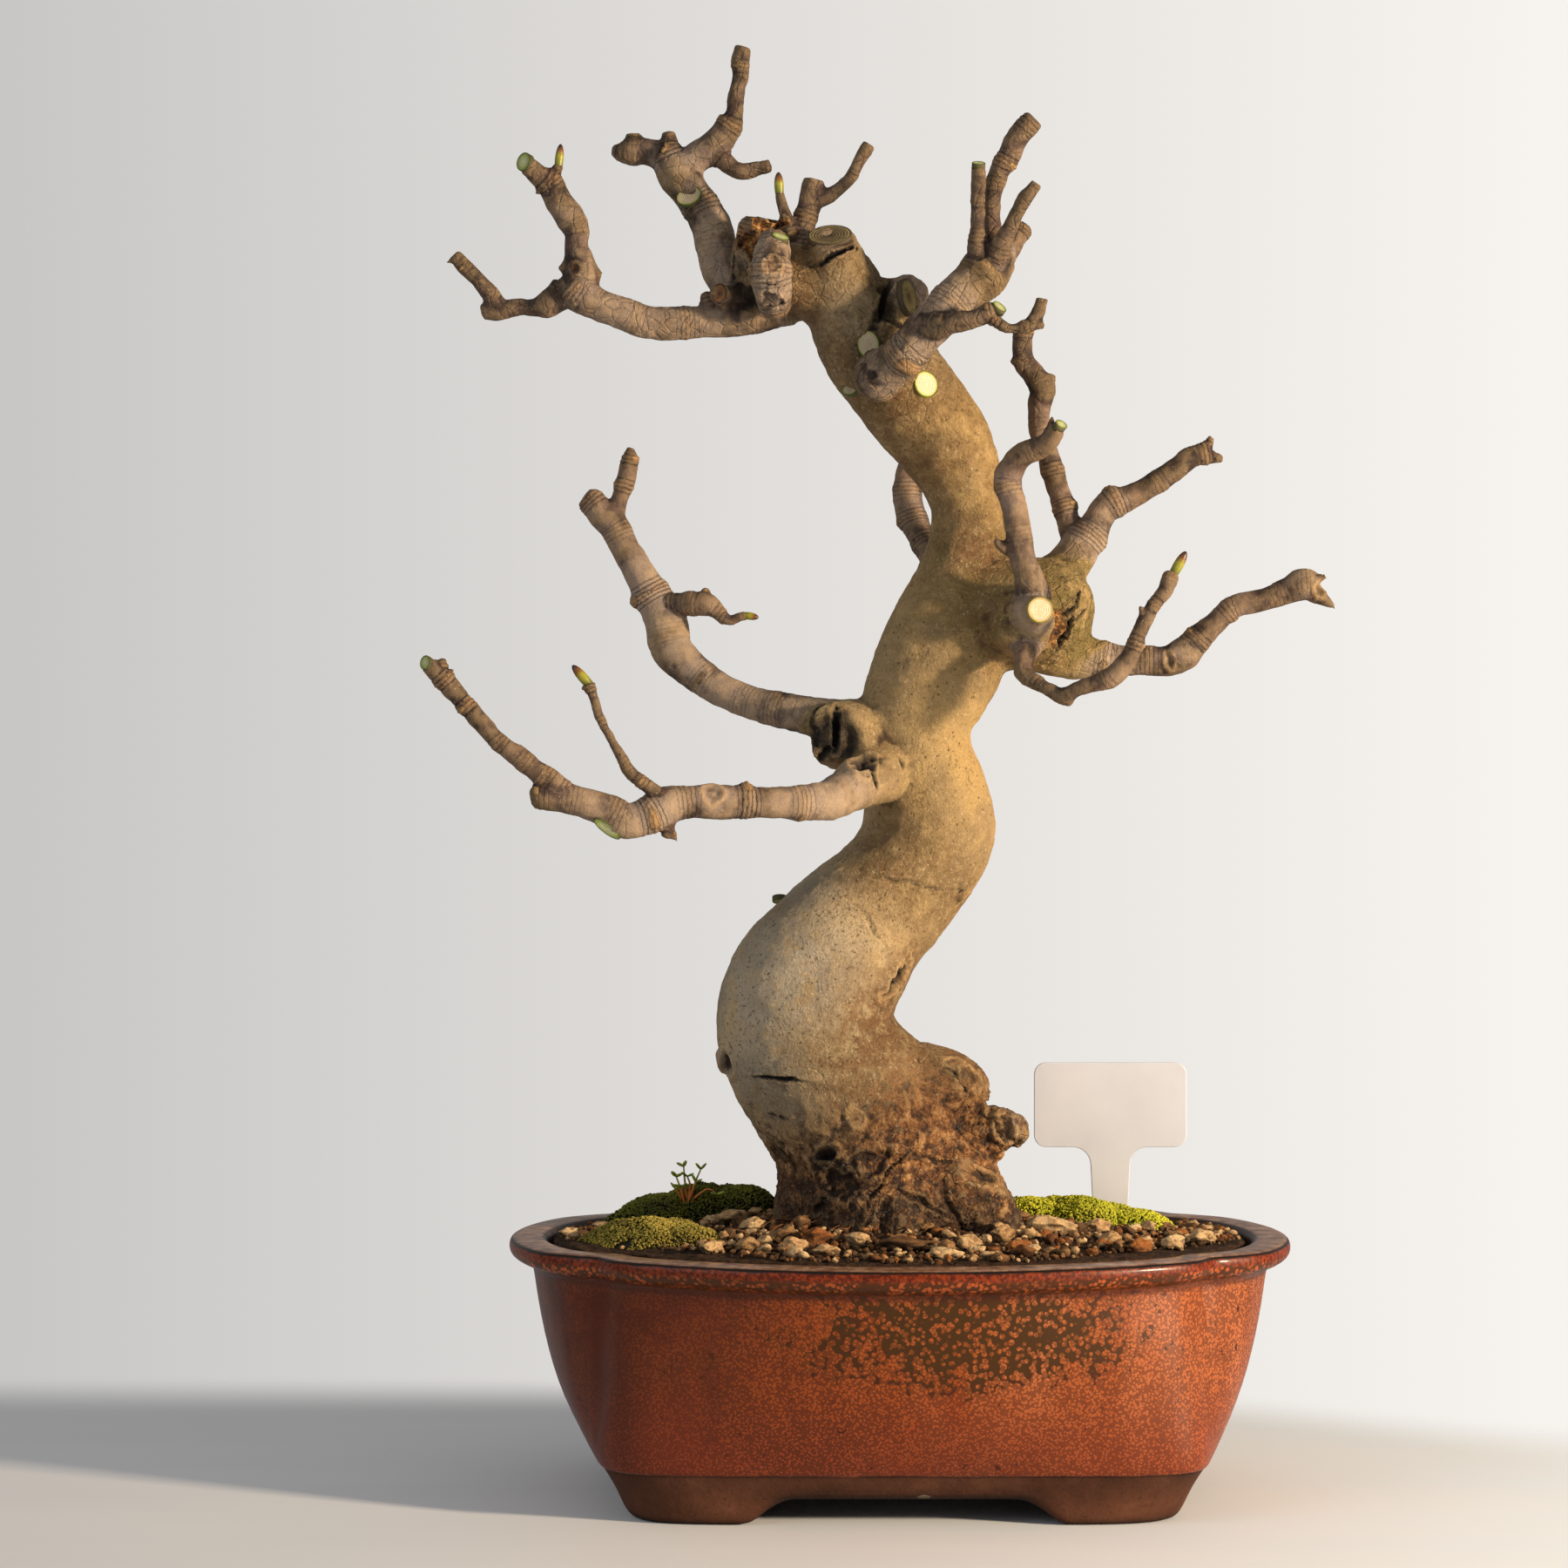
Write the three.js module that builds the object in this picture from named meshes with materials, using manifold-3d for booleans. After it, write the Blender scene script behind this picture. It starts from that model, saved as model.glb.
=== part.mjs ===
// A winter-bare fig bonsai in a lobed glazed pot, with its soil, stones, moss and plant label.
// Millimetres, +Z up. The front of the pot faces -Y, and z = 0 is the surface that the feet stand on.
import * as THREE from 'three';
import { mergeVertices } from 'three/addons/utils/BufferGeometryUtils.js';
import Module from 'manifold-3d';

const wasm = await Module();
wasm.setup();

// Driving dimensions of the pot
const potWidth = 310;
const potDepth = 232;
const rimHeight = 101;
const floorTop = 20;
const underside = 10.5;
const rimNotch = 4;
const notchSpread = 0.07;
const longSideRadius = 205;
const endRadius = 115;
const archHeight = 10;
const drainHoleRadius = 10;
const drainHoleOffset = 58;

// Clearances and layers
const gap = 0.35;
const soilEdgeHeight = 98;
const moundHeight = 11;
const gravelThickness = 2.2;
const surfaceLayer = gravelThickness + gap;

const trunkSides = 20;
const rootSides = 9;
const burlSides = 8;
const limbSides = 6;
const pegSides = 5;

// Label
const labelHead = { width: 63, height: 35, corner: 5 };
const labelStem = { topWidth: 17, lowWidth: 12, pointWidth: 3 };
const labelThickness = 1.2;
const labelPlace = { x: 89, y: 55, headTop: 165, point: 66 };

// Limbs as x, y, z of points along the middle, each with the radius there
const trunk = [
  [0, 0, 72, 35], [-1, 0, 93, 42], [-2, 0, 106, 45], [-5, 0, 120, 43.5], [-9, 0, 134, 41], [-16, 0, 148, 38.5],
  [-27, -2, 162, 36], [-35, -3, 174, 34.5], [-38, -4, 187, 34.5], [-34, -4, 200, 34.5], [-25, -3, 213, 31.5],
  [-16, 0, 224, 28.5], [-3, 3, 237, 26], [7, 5, 250, 25.5], [12, 6, 262, 27], [11, 5, 276, 25], [7, 3, 292, 23],
  [7, 2, 306, 23], [12, 2, 320, 25], [18, 3, 334, 25.5], [23, 4, 350, 23], [26, 5, 365, 18.5], [28, 5, 381, 15.5],
  [27, 4, 397, 16], [20, 2, 413, 18.5], [9, -2, 427, 20], [-2, -6, 441, 20.5], [-12, -10, 454, 20.5],
  [-20, -14, 468, 17.5], [-25, -22, 482, 13.5], [-26, -34, 492, 8.5],
];

const roots = {
  front: [[-5, -16, 127, 18], [-1, -34, 113, 13], [2, -42, 96, 8]],
  right: [[3, -8, 133, 21], [21, -20, 121, 18.5], [34, -26, 110, 13], [44, -30, 95, 8]],
  left: [[-23, -4, 129, 21], [-38, -8, 113, 12.5], [-45, -10, 94, 7.5]],
  back: [[0, 15, 122, 17.5], [4, 38, 102, 12], [6, 46, 85, 7]],
  backLeft: [[-21, 14, 122, 17.5], [-34, 32, 103, 11.5], [-44, 40, 86, 6.5]],
  backRight: [[21, 10, 123, 17], [39, 26, 103, 11.5], [51, 34, 87, 6.5]],
};

const burls = {
  baseTop: [[-15, -4, 154, 20], [3, -8, 162, 16], [17, -10, 161, 15], [27, -10, 158, 12], [33, -10, 155, 7]],
  baseKnob: [[23, -6, 137, 14.5], [36, -12, 142, 11.5], [43, -14, 143, 9], [48, -14, 140, 4]],
  leftEar: [[-63, -8, 172, 7.5], [-69, -10, 171, 6], [-72, -10, 170, 4]],
  hollow: [[-6, 0, 297, 14.5], [-18, -6, 299, 14], [-29, -8, 299, 13], [-35, -8, 298, 9.5]],
  right: [[25, 3, 344, 21.5], [41, 0, 347, 22], [55, -2, 348, 22.5], [66, -3, 349, 20], [73, -3, 349, 14.5], [77, -3, 349, 7]],
  front: [[-4, -5, 448, 12], [-8, -22, 441, 10.5], [-10, -32, 438, 8], [-11, -38, 437, 4]],
  oldStump: [[-11, -10, 463, 13], [-4, -14, 468, 11], [1, -19, 471, 9], [5, -24, 473, 8]],
  apexCore: [[-17, -12, 469, 16], [-32, -16, 476, 15], [-45, -18, 479, 13], [-55, -16, 478, 10.5], [-64, -12, 477, 8.5]],
  apexHollow: [[-57, -14, 479, 10.5], [-57, -16, 489, 9.5], [-55, -18, 497, 8], [-54, -19, 502, 7.5]],
  apexNose: [[-49, -28, 465, 5], [-50, -34, 471, 7.5], [-51, -37, 479, 8], [-50, -35, 487, 7], [-49, -31, 493, 5]],
  apexSide: [[-63, -14, 470, 6], [-69, -24, 471, 4.5], [-71, -33, 471, 4]],
  frontStub: [[46, 0, 342, 14.5], [48, -22, 343, 12.5], [51, -36, 346, 8], [53, -46, 347, 5]],
};

const limbs = {
  lowLeft: [
    [-1, -6, 287, 12.5], [-12, -22, 282, 10.5], [-20, -32, 278, 9], [-28, -40, 274, 8], [-35, -45, 273, 7],
    [-46, -50, 273, 6.2], [-59, -54, 273, 6], [-73, -58, 273, 6.8], [-82, -60, 273, 6.3], [-90, -62, 272, 7.3],
    [-98, -64, 268, 6.8], [-106, -66, 266, 7], [-113, -67, 270, 6.3], [-122, -69, 273, 5.8], [-132, -70, 275, 5.5],
    [-139, -71, 275, 4.8], [-142, -71, 275, 3],
  ],
  lowLeftLong: [
    [-128, -70, 276, 4], [-134, -72, 281, 4.2], [-141, -74, 286, 4], [-147, -75, 291, 4.1], [-153, -76, 295, 3.6],
    [-160, -77, 303, 3.5], [-167, -78, 311, 3.5], [-173, -79, 318, 3.8], [-180, -81, 325, 3],
  ],
  lowLeftThin: [
    [-90, -64, 273, 3.4], [-95, -66, 277, 3], [-99, -67, 280, 2.7], [-104, -68, 284, 2.6], [-108, -69, 291, 2.1],
    [-112, -70, 298, 1.9], [-116, -71, 306, 2.1], [-118, -72, 313, 2.1], [-120, -72, 318, 2.6],
  ],
  midLeft: [
    [-15, 0, 303, 10.5], [-27, 2, 305, 9], [-39, 6, 308, 7.7], [-53, 12, 311, 6.8], [-65, 17, 315, 6.7],
    [-76, 21, 321, 7], [-86, 25, 329, 7.8], [-92, 28, 336, 8.7], [-93, 29, 343, 8.8], [-95, 30, 349, 8.5],
    [-99, 31, 356, 7.6], [-103, 31, 363, 6.9], [-107, 32, 370, 6.4], [-111, 32, 377, 6], [-115, 33, 385, 6],
    [-120, 33, 390, 5.9], [-124, 34, 395, 5.5], [-127, 34, 397, 4],
  ],
  midLeftUp: [[-116, 33, 386, 4.3], [-114, 33, 392, 3.9], [-112, 33, 398, 3.5], [-110, 33, 405, 3.5], [-109, 33, 411, 3.5], [-108, 33, 417, 1.8]],
  midLeftInner: [
    [-94, 28, 351, 5], [-87, 24, 353, 4.8], [-82, 21, 353, 4.8], [-76, 19, 352, 4.6], [-72, 18, 349, 3],
    [-69, 17, 346, 2.5], [-64, 16, 347, 2.2], [-61, 16, 348, 2],
  ],
  topLeft: [
    [-44, -12, 471, 9], [-54, -14, 466, 7.6], [-66, -16, 463, 6.9], [-78, -18, 462, 6.3], [-89, -20, 461, 6.7],
    [-99, -22, 461, 6.3], [-108, -24, 464, 6.5], [-117, -26, 467, 6.5], [-125, -27, 471, 6.8], [-130, -28, 475, 6.1],
  ],
  topLeftUp: [
    [-127, -27, 471, 6.1], [-125, -27, 478, 6.5], [-126, -27, 485, 5.8], [-127, -27, 491, 4.7], [-127, -27, 496, 5.1],
    [-130, -27, 502, 5.8], [-134, -28, 508, 5.2], [-137, -29, 514, 4.9], [-141, -31, 517, 4.4], [-146, -33, 521, 3.9],
  ],
  topLeftOut: [
    [-129, -27, 474, 5.8], [-134, -25, 471, 5.5], [-139, -24, 468, 5.1], [-144, -23, 467, 3.4], [-151, -22, 467, 3.2],
    [-156, -21, 466, 3.9], [-161, -20, 466, 4.5], [-165, -20, 465, 3.3],
  ],
  topLeftTip: [[-158, -21, 467, 3.8], [-161, -22, 472, 3.8], [-165, -23, 477, 3.2], [-169, -24, 481, 3.2], [-175, -26, 487, 2.7]],
  apexLeft: [
    [-63, -8, 473, 7], [-70, -4, 481, 7], [-73, -2, 491, 7.5], [-74, 0, 500, 8.3], [-78, 2, 509, 7.5],
    [-83, 3, 516, 7.6], [-88, 4, 524, 9], [-90, 4, 528, 8],
  ],
  apexUp: [
    [-87, 4, 524, 7], [-81, 3, 530, 6.3], [-74, 2, 534, 6.4], [-69, 1, 540, 5.7], [-66, 0, 545, 4],
    [-65, -1, 553, 3.4], [-63, -2, 562, 3.2], [-63, -2, 568, 3.6], [-62, -3, 573, 3.3],
  ],
  apexOut: [[-73, 2, 532, 5], [-67, 0, 526, 3.6], [-63, -1, 524, 3.5], [-56, -2, 525, 2.9], [-51, -3, 526, 2.6]],
  apexKnots: [[-88, 4, 526, 7.7], [-95, 5, 531, 6], [-101, 6, 533, 5.2], [-107, 7, 533, 5.6], [-111, 8, 533, 3.8], [-115, 8, 534, 2.4]],
  apexStub: [[-40, -18, 491, 5.8], [-38, -18, 500, 4.8], [-36, -18, 507, 4.5], [-35, -18, 512, 4.8], [-34, -18, 518, 4.1]],
  apexRight: [[-36, -18, 509, 3.4], [-29, -19, 511, 3.3], [-24, -20, 514, 2.8], [-19, -21, 519, 2.7], [-16, -22, 525, 2.8], [-12, -23, 531, 2.9]],
  upperRight: [
    [-10, -26, 440, 9], [-4, -36, 443, 8.8], [2, -43, 448, 8.3], [9, -46, 455, 8.2], [15, -47, 461, 8.1],
    [21, -45, 468, 8.4], [28, -43, 474, 9.4], [34, -41, 480, 9.4], [39, -40, 485, 7.4],
  ],
  upperTall: [
    [37, -41, 482, 6.7], [36, -40, 489, 4.7], [35, -40, 497, 3.7], [35, -40, 505, 3.4], [36, -41, 512, 3.5],
    [38, -42, 518, 4], [42, -43, 525, 4.7], [44, -44, 529, 4.7], [47, -45, 533, 4.7], [51, -46, 537, 4.2],
  ],
  upperCut: [[33, -44, 478, 5.1], [29, -47, 485, 4.2], [29, -48, 492, 3.5], [29, -49, 500, 3], [29, -50, 508, 3], [29, -52, 517, 2.8]],
  upperFork: [[36, -46, 481, 5], [38, -50, 488, 4], [41, -52, 494, 3.2], [44, -54, 500, 2.8], [47, -56, 505, 3], [51, -58, 510, 2.3]],
  upperPeg: [[37, -36, 482, 5.4], [42, -33, 489, 4.7], [46, -31, 495, 3.9], [48, -30, 498, 3.1]],
  reach: [[10, -50, 456, 6], [16, -56, 456, 4.5], [22, -59, 457, 4], [28, -61, 458, 3.7], [32, -62, 460, 3.5], [35, -63, 461, 3]],
  reachThin: [
    [32, -62, 459, 2.7], [36, -62, 456, 2.3], [39, -62, 454, 2.2], [43, -61, 454, 2], [47, -60, 455, 2.7],
    [50, -60, 458, 2.8], [52, -60, 462, 2.8], [53, -60, 466, 2.7],
  ],
  rightLow: [
    [58, -2, 337, 14], [70, -2, 331, 10], [80, -2, 330, 7.6], [89, -3, 329, 6.2], [99, -4, 329, 5.9],
    [107, -5, 329, 6.2], [113, -6, 332, 6.6], [117, -6, 336, 5.4], [125, -8, 344, 4.5], [132, -9, 350, 4.8],
    [140, -10, 352, 4.5], [147, -11, 354, 4.5], [154, -12, 357, 5.5], [160, -13, 359, 6.5], [164, -13, 358, 4.8],
  ],
  rightUpper: [
    [57, 2, 356, 14.5], [66, 3, 365, 9.7], [72, 4, 374, 8], [78, 5, 382, 6.6], [82, 5, 389, 5.9], [86, 5, 392, 6.1],
    [91, 5, 394, 5.2], [97, 5, 397, 4.7], [104, 5, 401, 4.7], [111, 5, 406, 4.5], [118, 5, 411, 4.5], [123, 5, 412, 4.2],
  ],
  rightTall: [
    [72, 4, 372, 5.6], [69, 8, 382, 5.2], [66, 11, 393, 4.5], [63, 13, 403, 4.4], [60, 14, 414, 4.3], [57, 15, 424, 4.4],
    [57, 15, 433, 4.6], [58, 14, 439, 5.4], [55, 14, 444, 4.7], [51, 14, 449, 4.2], [50, 14, 454, 3.9], [50, 14, 464, 3.6],
  ],
  frontUp: [
    [51, -26, 351, 6.8], [50, -34, 359, 5.8], [47, -36, 368, 5.2], [45, -37, 380, 5.1], [43, -36, 390, 5.1],
    [41, -35, 398, 5.3], [43, -36, 403, 5.1], [47, -40, 408, 4.6], [53, -43, 410, 4.4], [57, -46, 413, 3.9], [60, -48, 417, 3.4],
  ],
  frontDown: [
    [50, -26, 336, 5.8], [47, -36, 328, 4.2], [47, -40, 323, 3.7], [52, -44, 319, 3], [57, -47, 316, 2.9],
    [61, -49, 314, 3], [68, -52, 317, 3], [75, -54, 319, 3.5], [81, -56, 322, 4], [86, -57, 328, 3.7], [89, -58, 335, 3.3],
    [92, -58, 342, 3.2], [96, -58, 349, 2.9], [100, -58, 354, 3.2], [102, -58, 359, 3.3], [103, -58, 361, 2.3],
  ],
  backLeft: [[23, 12, 359, 5], [18, 26, 367, 5], [13, 34, 375, 5.3], [8, 40, 386, 5.7], [5, 43, 396, 6.1], [5, 44, 406, 5], [7, 44, 416, 4.3], [11, 43, 426, 3.9], [13, 42, 433, 3.2]],
};

// Short pegs, spurs, knots and buds
const pegs = {
  lowLeftNub: [[-174, -80, 321, 2.3], [-175, -80, 327, 1.5]],
  lowLeftBud: [[-119, -72, 316, 1.7], [-122, -72, 321, 2.5], [-126, -73, 325, 0.4]],
  lowLeftDead: [[-90, -62, 267, 3], [-91, -62, 259, 1.9]],
  lowLeftSpur: [[-89, -62, 263, 1.7], [-86, -62, 257, 0.5]],
  midLeftBud: [[-62, 16, 348, 2], [-56, 15, 347, 0.4]],
  midLeftPeg: [[-78, 20, 354, 2.1], [-77, 20, 359, 1.3]],
  topLeftWart: [[-128, -27, 480, 4.4], [-132, -27, 484, 3.1]],
  topLeftSpike: [[-121, -27, 476, 3.1], [-117, -27, 481, 1]],
  topLeftBud: [[-137, -29, 516, 2.7], [-134, -29, 521, 2.2], [-132, -29, 526, 2], [-133, -29, 530, 0.4]],
  topLeftKnob: [[-139, -24, 468, 4.1], [-138, -24, 463, 2.7]],
  topLeftThorn: [[-174, -26, 486, 1.4], [-179, -27, 483, 0.4]],
  topLeftTop: [[-75, -16, 466, 4.8], [-77, -16, 474, 2.1]],
  apexKnotA: [[-91, 5, 531, 4.5], [-92, 5, 541, 3]],
  apexKnotB: [[-106, 7, 532, 5], [-106, 7, 540, 3.2]],
  apexKnotC: [[-107, 7, 532, 4.5], [-108, 7, 528, 3.1]],
  apexBud: [[-42, -20, 493, 3.4], [-46, -23, 507, 2.3], [-48, -23, 515, 2.2], [-48, -23, 520, 0.4]],
  upperSpike: [[15, -46, 464, 2], [14, -47, 473, 0.7]],
  reachPeg: [[49, -60, 456, 2.3], [54, -60, 455, 1.3]],
  rightLowPeg: [[161, -13, 360, 3.1], [168, -15, 362, 1.2]],
  rightLowHook: [[162, -13, 356, 3.8], [167, -14, 353, 2.7], [172, -15, 349, 0.7]],
  rightLowKnee: [[113, -6, 331, 4.5], [116, -7, 326, 2.4]],
  rightUpperPeg: [[121, 5, 413, 2.8], [124, 5, 416, 2.1], [125, 5, 419, 1.4]],
  rightUpperFinger: [[121, 5, 411, 3.1], [130, 5, 410, 1.8]],
  rightTallPeg: [[58, 14, 440, 3.5], [61, 13, 442, 2.5], [62, 13, 445, 1.4]],
  rightTallSpur: [[50, 14, 448, 2.1], [45, 13, 450, 0.9]],
  frontUpPeg: [[56, -45, 413, 2.4], [58, -46, 422, 1.3]],
  frontUpSpur: [[43, -36, 371, 2.4], [39, -37, 372, 2.4], [36, -38, 375, 1.5]],
  frontDownBud: [[103, -58, 359, 1.8], [105, -58, 364, 2.3], [108, -59, 369, 0.4]],
  frontDownKnob: [[61, -49, 313, 2.7], [65, -51, 311, 1.5]],
  frontDownNub: [[92, -59, 344, 2], [90, -61, 348, 1]],
};

// Moss mounds: middle, reach along x and y, height over the ground, and how many cushions
const mossMounds = {
  moss_left_back: { x: -84, y: 44, reachX: 44, reachY: 26, height: 17, cushions: 8, seed: 11 },
  moss_left_front: { x: -100, y: -30, reachX: 34, reachY: 22, height: 9, cushions: 6, seed: 23 },
  moss_right: { x: 76, y: 30, reachX: 38, reachY: 24, height: 9, cushions: 6, seed: 37 },
};

// Larger stones by hand: x, y, length, width, height, turn in degrees
const stones = [
  [-66, -2, 11, 9, 7, 20], [-58, -25, 11, 9, 6, 70], [-46, -50, 11, 9, 7, 10], [-33, -56, 12, 9, 7, 40],
  [-42, -66, 10, 8, 6, 0], [-59, -64, 11, 9, 6, 30], [-18, -60, 10, 8, 6, 80], [0, -70, 20, 13, 5, 5],
  [14, -83, 14, 8, 4, -5], [60, -26, 20, 13, 9, 10], [78, -12, 11, 8, 6, 50], [81, -42, 11, 8, 6, 15],
  [90, -58, 10, 8, 6, 60], [105, -44, 10, 8, 6, 5], [117, -28, 12, 10, 7, 35], [44, -66, 10, 8, 6, 25],
  [39, -48, 11, 8, 6, 60], [-30, -78, 9, 8, 5, 15], [-73, -66, 10, 7, 5, 45], [25, -62, 10, 8, 5, 30],
];
const smallStoneCount = 12;

const sproutPlace = { x: -85, y: 26 };
const sproutStalks = [
  [[-85, 26, 111, 2], [-86, 26, 119, 0.9], [-86, 26, 124, 0.9]],
  [[-86, 26, 111, 1.6], [-88, 25, 117, 0.9], [-90, 25, 121, 0.9]],
  [[-84, 26, 111, 1.6], [-82, 25, 118, 0.9], [-79, 25, 123, 0.9]],
  [[-84, 26, 111, 1.6], [-78, 24, 112, 0.9], [-73, 23, 114, 0.9]],
];

// A repeatable random number between 0 and 1
function randomFrom(seed) {
  let state = seed;
  return () => {
    state = (state * 1664525 + 1013904223) % 4294967296;
    return state / 4294967296;
  };
}

// Closed geometry to a solid, and back
function solid(geometry) {
  const bare = geometry.clone();
  bare.deleteAttribute('normal');
  bare.deleteAttribute('uv');
  const merged = mergeVertices(bare, 1e-4);
  const triangles = new Uint32Array(merged.index.array);
  const corners = new Float32Array(merged.attributes.position.array);
  if (signedVolume(corners, triangles) < 0) triangles.reverse();
  return new wasm.Manifold(new wasm.Mesh({ numProp: 3, vertProperties: corners, triVerts: triangles }));
}

function signedVolume(corners, triangles) {
  const [a, b, c] = [new THREE.Vector3(), new THREE.Vector3(), new THREE.Vector3()];
  let volume = 0;
  for (let i = 0; i < triangles.length; i += 3) {
    a.fromArray(corners, triangles[i] * 3);
    b.fromArray(corners, triangles[i + 1] * 3);
    c.fromArray(corners, triangles[i + 2] * 3);
    volume += a.dot(b.cross(c)) / 6;
  }
  return volume;
}

function geometryOf(body) {
  const mesh = body.getMesh();
  const geometry = new THREE.BufferGeometry();
  geometry.setAttribute('position', new THREE.BufferAttribute(new Float32Array(mesh.vertProperties), 3));
  geometry.setIndex(new THREE.BufferAttribute(new Uint32Array(mesh.triVerts), 1));
  geometry.computeVertexNormals();
  return geometry;
}

function joined(bodies) {
  return bodies.reduce((whole, body) => whole.add(body));
}

// A closed cylinder bent along a limb's middle line, with the limb's own radius at each ring.
// lumps swells a ring by direction, and grow makes it larger all round, for the hole that it stands in.
function limb(route, sides, { lumps = () => 1, grow = 0 } = {}) {
  const middle = new THREE.CatmullRomCurve3(route.map(([x, y, z]) => new THREE.Vector3(x, y, z)), false, 'centripetal');
  const rings = route.length - 1;
  const frames = [];
  let across = new THREE.Vector3(1, 0, 0);
  for (let i = 0; i <= rings; i++) {
    const along = i / rings;
    const tangent = middle.getTangent(along);
    if (i === 0 && Math.abs(tangent.x) > 0.8) across = new THREE.Vector3(0, 1, 0);
    across = across.clone().addScaledVector(tangent, -across.dot(tangent)).normalize();
    const centre = middle.getPoint(along);
    if (i === 0) centre.addScaledVector(tangent, -grow);
    if (i === rings) centre.addScaledVector(tangent, grow);
    frames.push({ centre, across, beside: tangent.clone().cross(across), radius: route[i][3] + grow });
  }
  const tube = new THREE.CylinderGeometry(1, 1, 1, sides, rings);
  const corners = tube.attributes.position;
  for (let i = 0; i < corners.count; i++) {
    const frame = frames[Math.round((corners.getY(i) + 0.5) * rings)];
    const swell = lumps(Math.atan2(corners.getZ(i), corners.getX(i)), frame.centre.z);
    const point = frame.centre.clone()
      .addScaledVector(frame.across, corners.getX(i) * frame.radius * swell)
      .addScaledVector(frame.beside, corners.getZ(i) * frame.radius * swell);
    corners.setXYZ(i, point.x, point.y, point.z);
  }
  return solid(tube);
}

// Flutes and swellings of the trunk, strongest near the ground
function trunkLumps(angle, z) {
  const low = THREE.MathUtils.clamp((190 - z) / 90, 0, 1);
  return 1 + (0.02 + 0.03 * low) * Math.sin(5 * angle + z / 28) + 0.025 * Math.sin(3 * angle - z / 19 + 1);
}

// The lobed plan: a convex arc on each side, drawn in where the arcs meet.
// fold is the angle from the nearest end of the pot, 0 to a quarter turn.
const cornerAngle = 0.525;
const quarterSteps = [0, 0.17, 0.32, 0.42, 0.48, cornerAngle, 0.57, 0.63, 0.76, 0.95, 1.16, 1.36];
const mirroredSteps = [0, ...quarterSteps.slice(1).reverse().map((step) => Math.PI / 2 - step)];
const planAngles = [0, 1, 2, 3].flatMap((quarter) =>
  (quarter % 2 ? mirroredSteps : quarterSteps).map((step) => step + quarter * Math.PI / 2));

function planReach(fold) {
  const reachTo = (offset, radius, along) => offset * along + Math.sqrt(radius ** 2 - offset ** 2 * (1 - along ** 2));
  if (fold < cornerAngle) return reachTo(potWidth / 2 - endRadius, endRadius, Math.cos(fold));
  return reachTo(potDepth / 2 - longSideRadius, longSideRadius, Math.sin(fold));
}

const plan = planAngles.map((angle) => {
  const fold = Math.acos(Math.abs(Math.cos(angle)));
  const reach = planReach(fold);
  const x = Math.cos(angle) * reach / (potWidth / 2);
  const y = Math.sin(angle) * reach / (potDepth / 2);
  const squareness = 8;
  const toSquare = (Math.abs(x) ** squareness + Math.abs(y) ** squareness) ** (-1 / squareness);
  return { x, y, angle, toSquare, notch: Math.exp(-(((fold - cornerAngle) / notchSpread) ** 2)) };
});

// A turned form whose rings follow the lobed plan. Each row is half-width, half-depth, height,
// depth of the corner notch, and how far the plan has turned from lobed to square, 0 to 1.
function lobed(rows, height = (x, y, z) => z) {
  const turned = new THREE.LatheGeometry(rows.map(([half, , z]) => new THREE.Vector2(half, z)), plan.length);
  const corners = turned.attributes.position;
  for (let i = 0; i < corners.count; i++) {
    const [half, halfDeep, z, notch = 0, square = 0] = rows[i % rows.length];
    const spot = plan[Math.floor(i / rows.length) % plan.length];
    const stretch = THREE.MathUtils.lerp(1, spot.toSquare, square);
    const x = spot.x * stretch * half - Math.cos(spot.angle) * spot.notch * notch;
    const y = spot.y * stretch * halfDeep - Math.sin(spot.angle) * spot.notch * notch;
    corners.setXYZ(i, x, y, height(x, y, z));
  }
  return solid(turned);
}

// A flat outline given thickness along its own Z, then stood on edge so that it runs along Y
function board(outline, thickness, y) {
  const geometry = new THREE.ExtrudeGeometry(outline, { depth: thickness, bevelEnabled: false, curveSegments: 4 });
  geometry.rotateX(Math.PI / 2);
  geometry.translate(0, y + thickness / 2, 0);
  return geometry;
}

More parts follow.
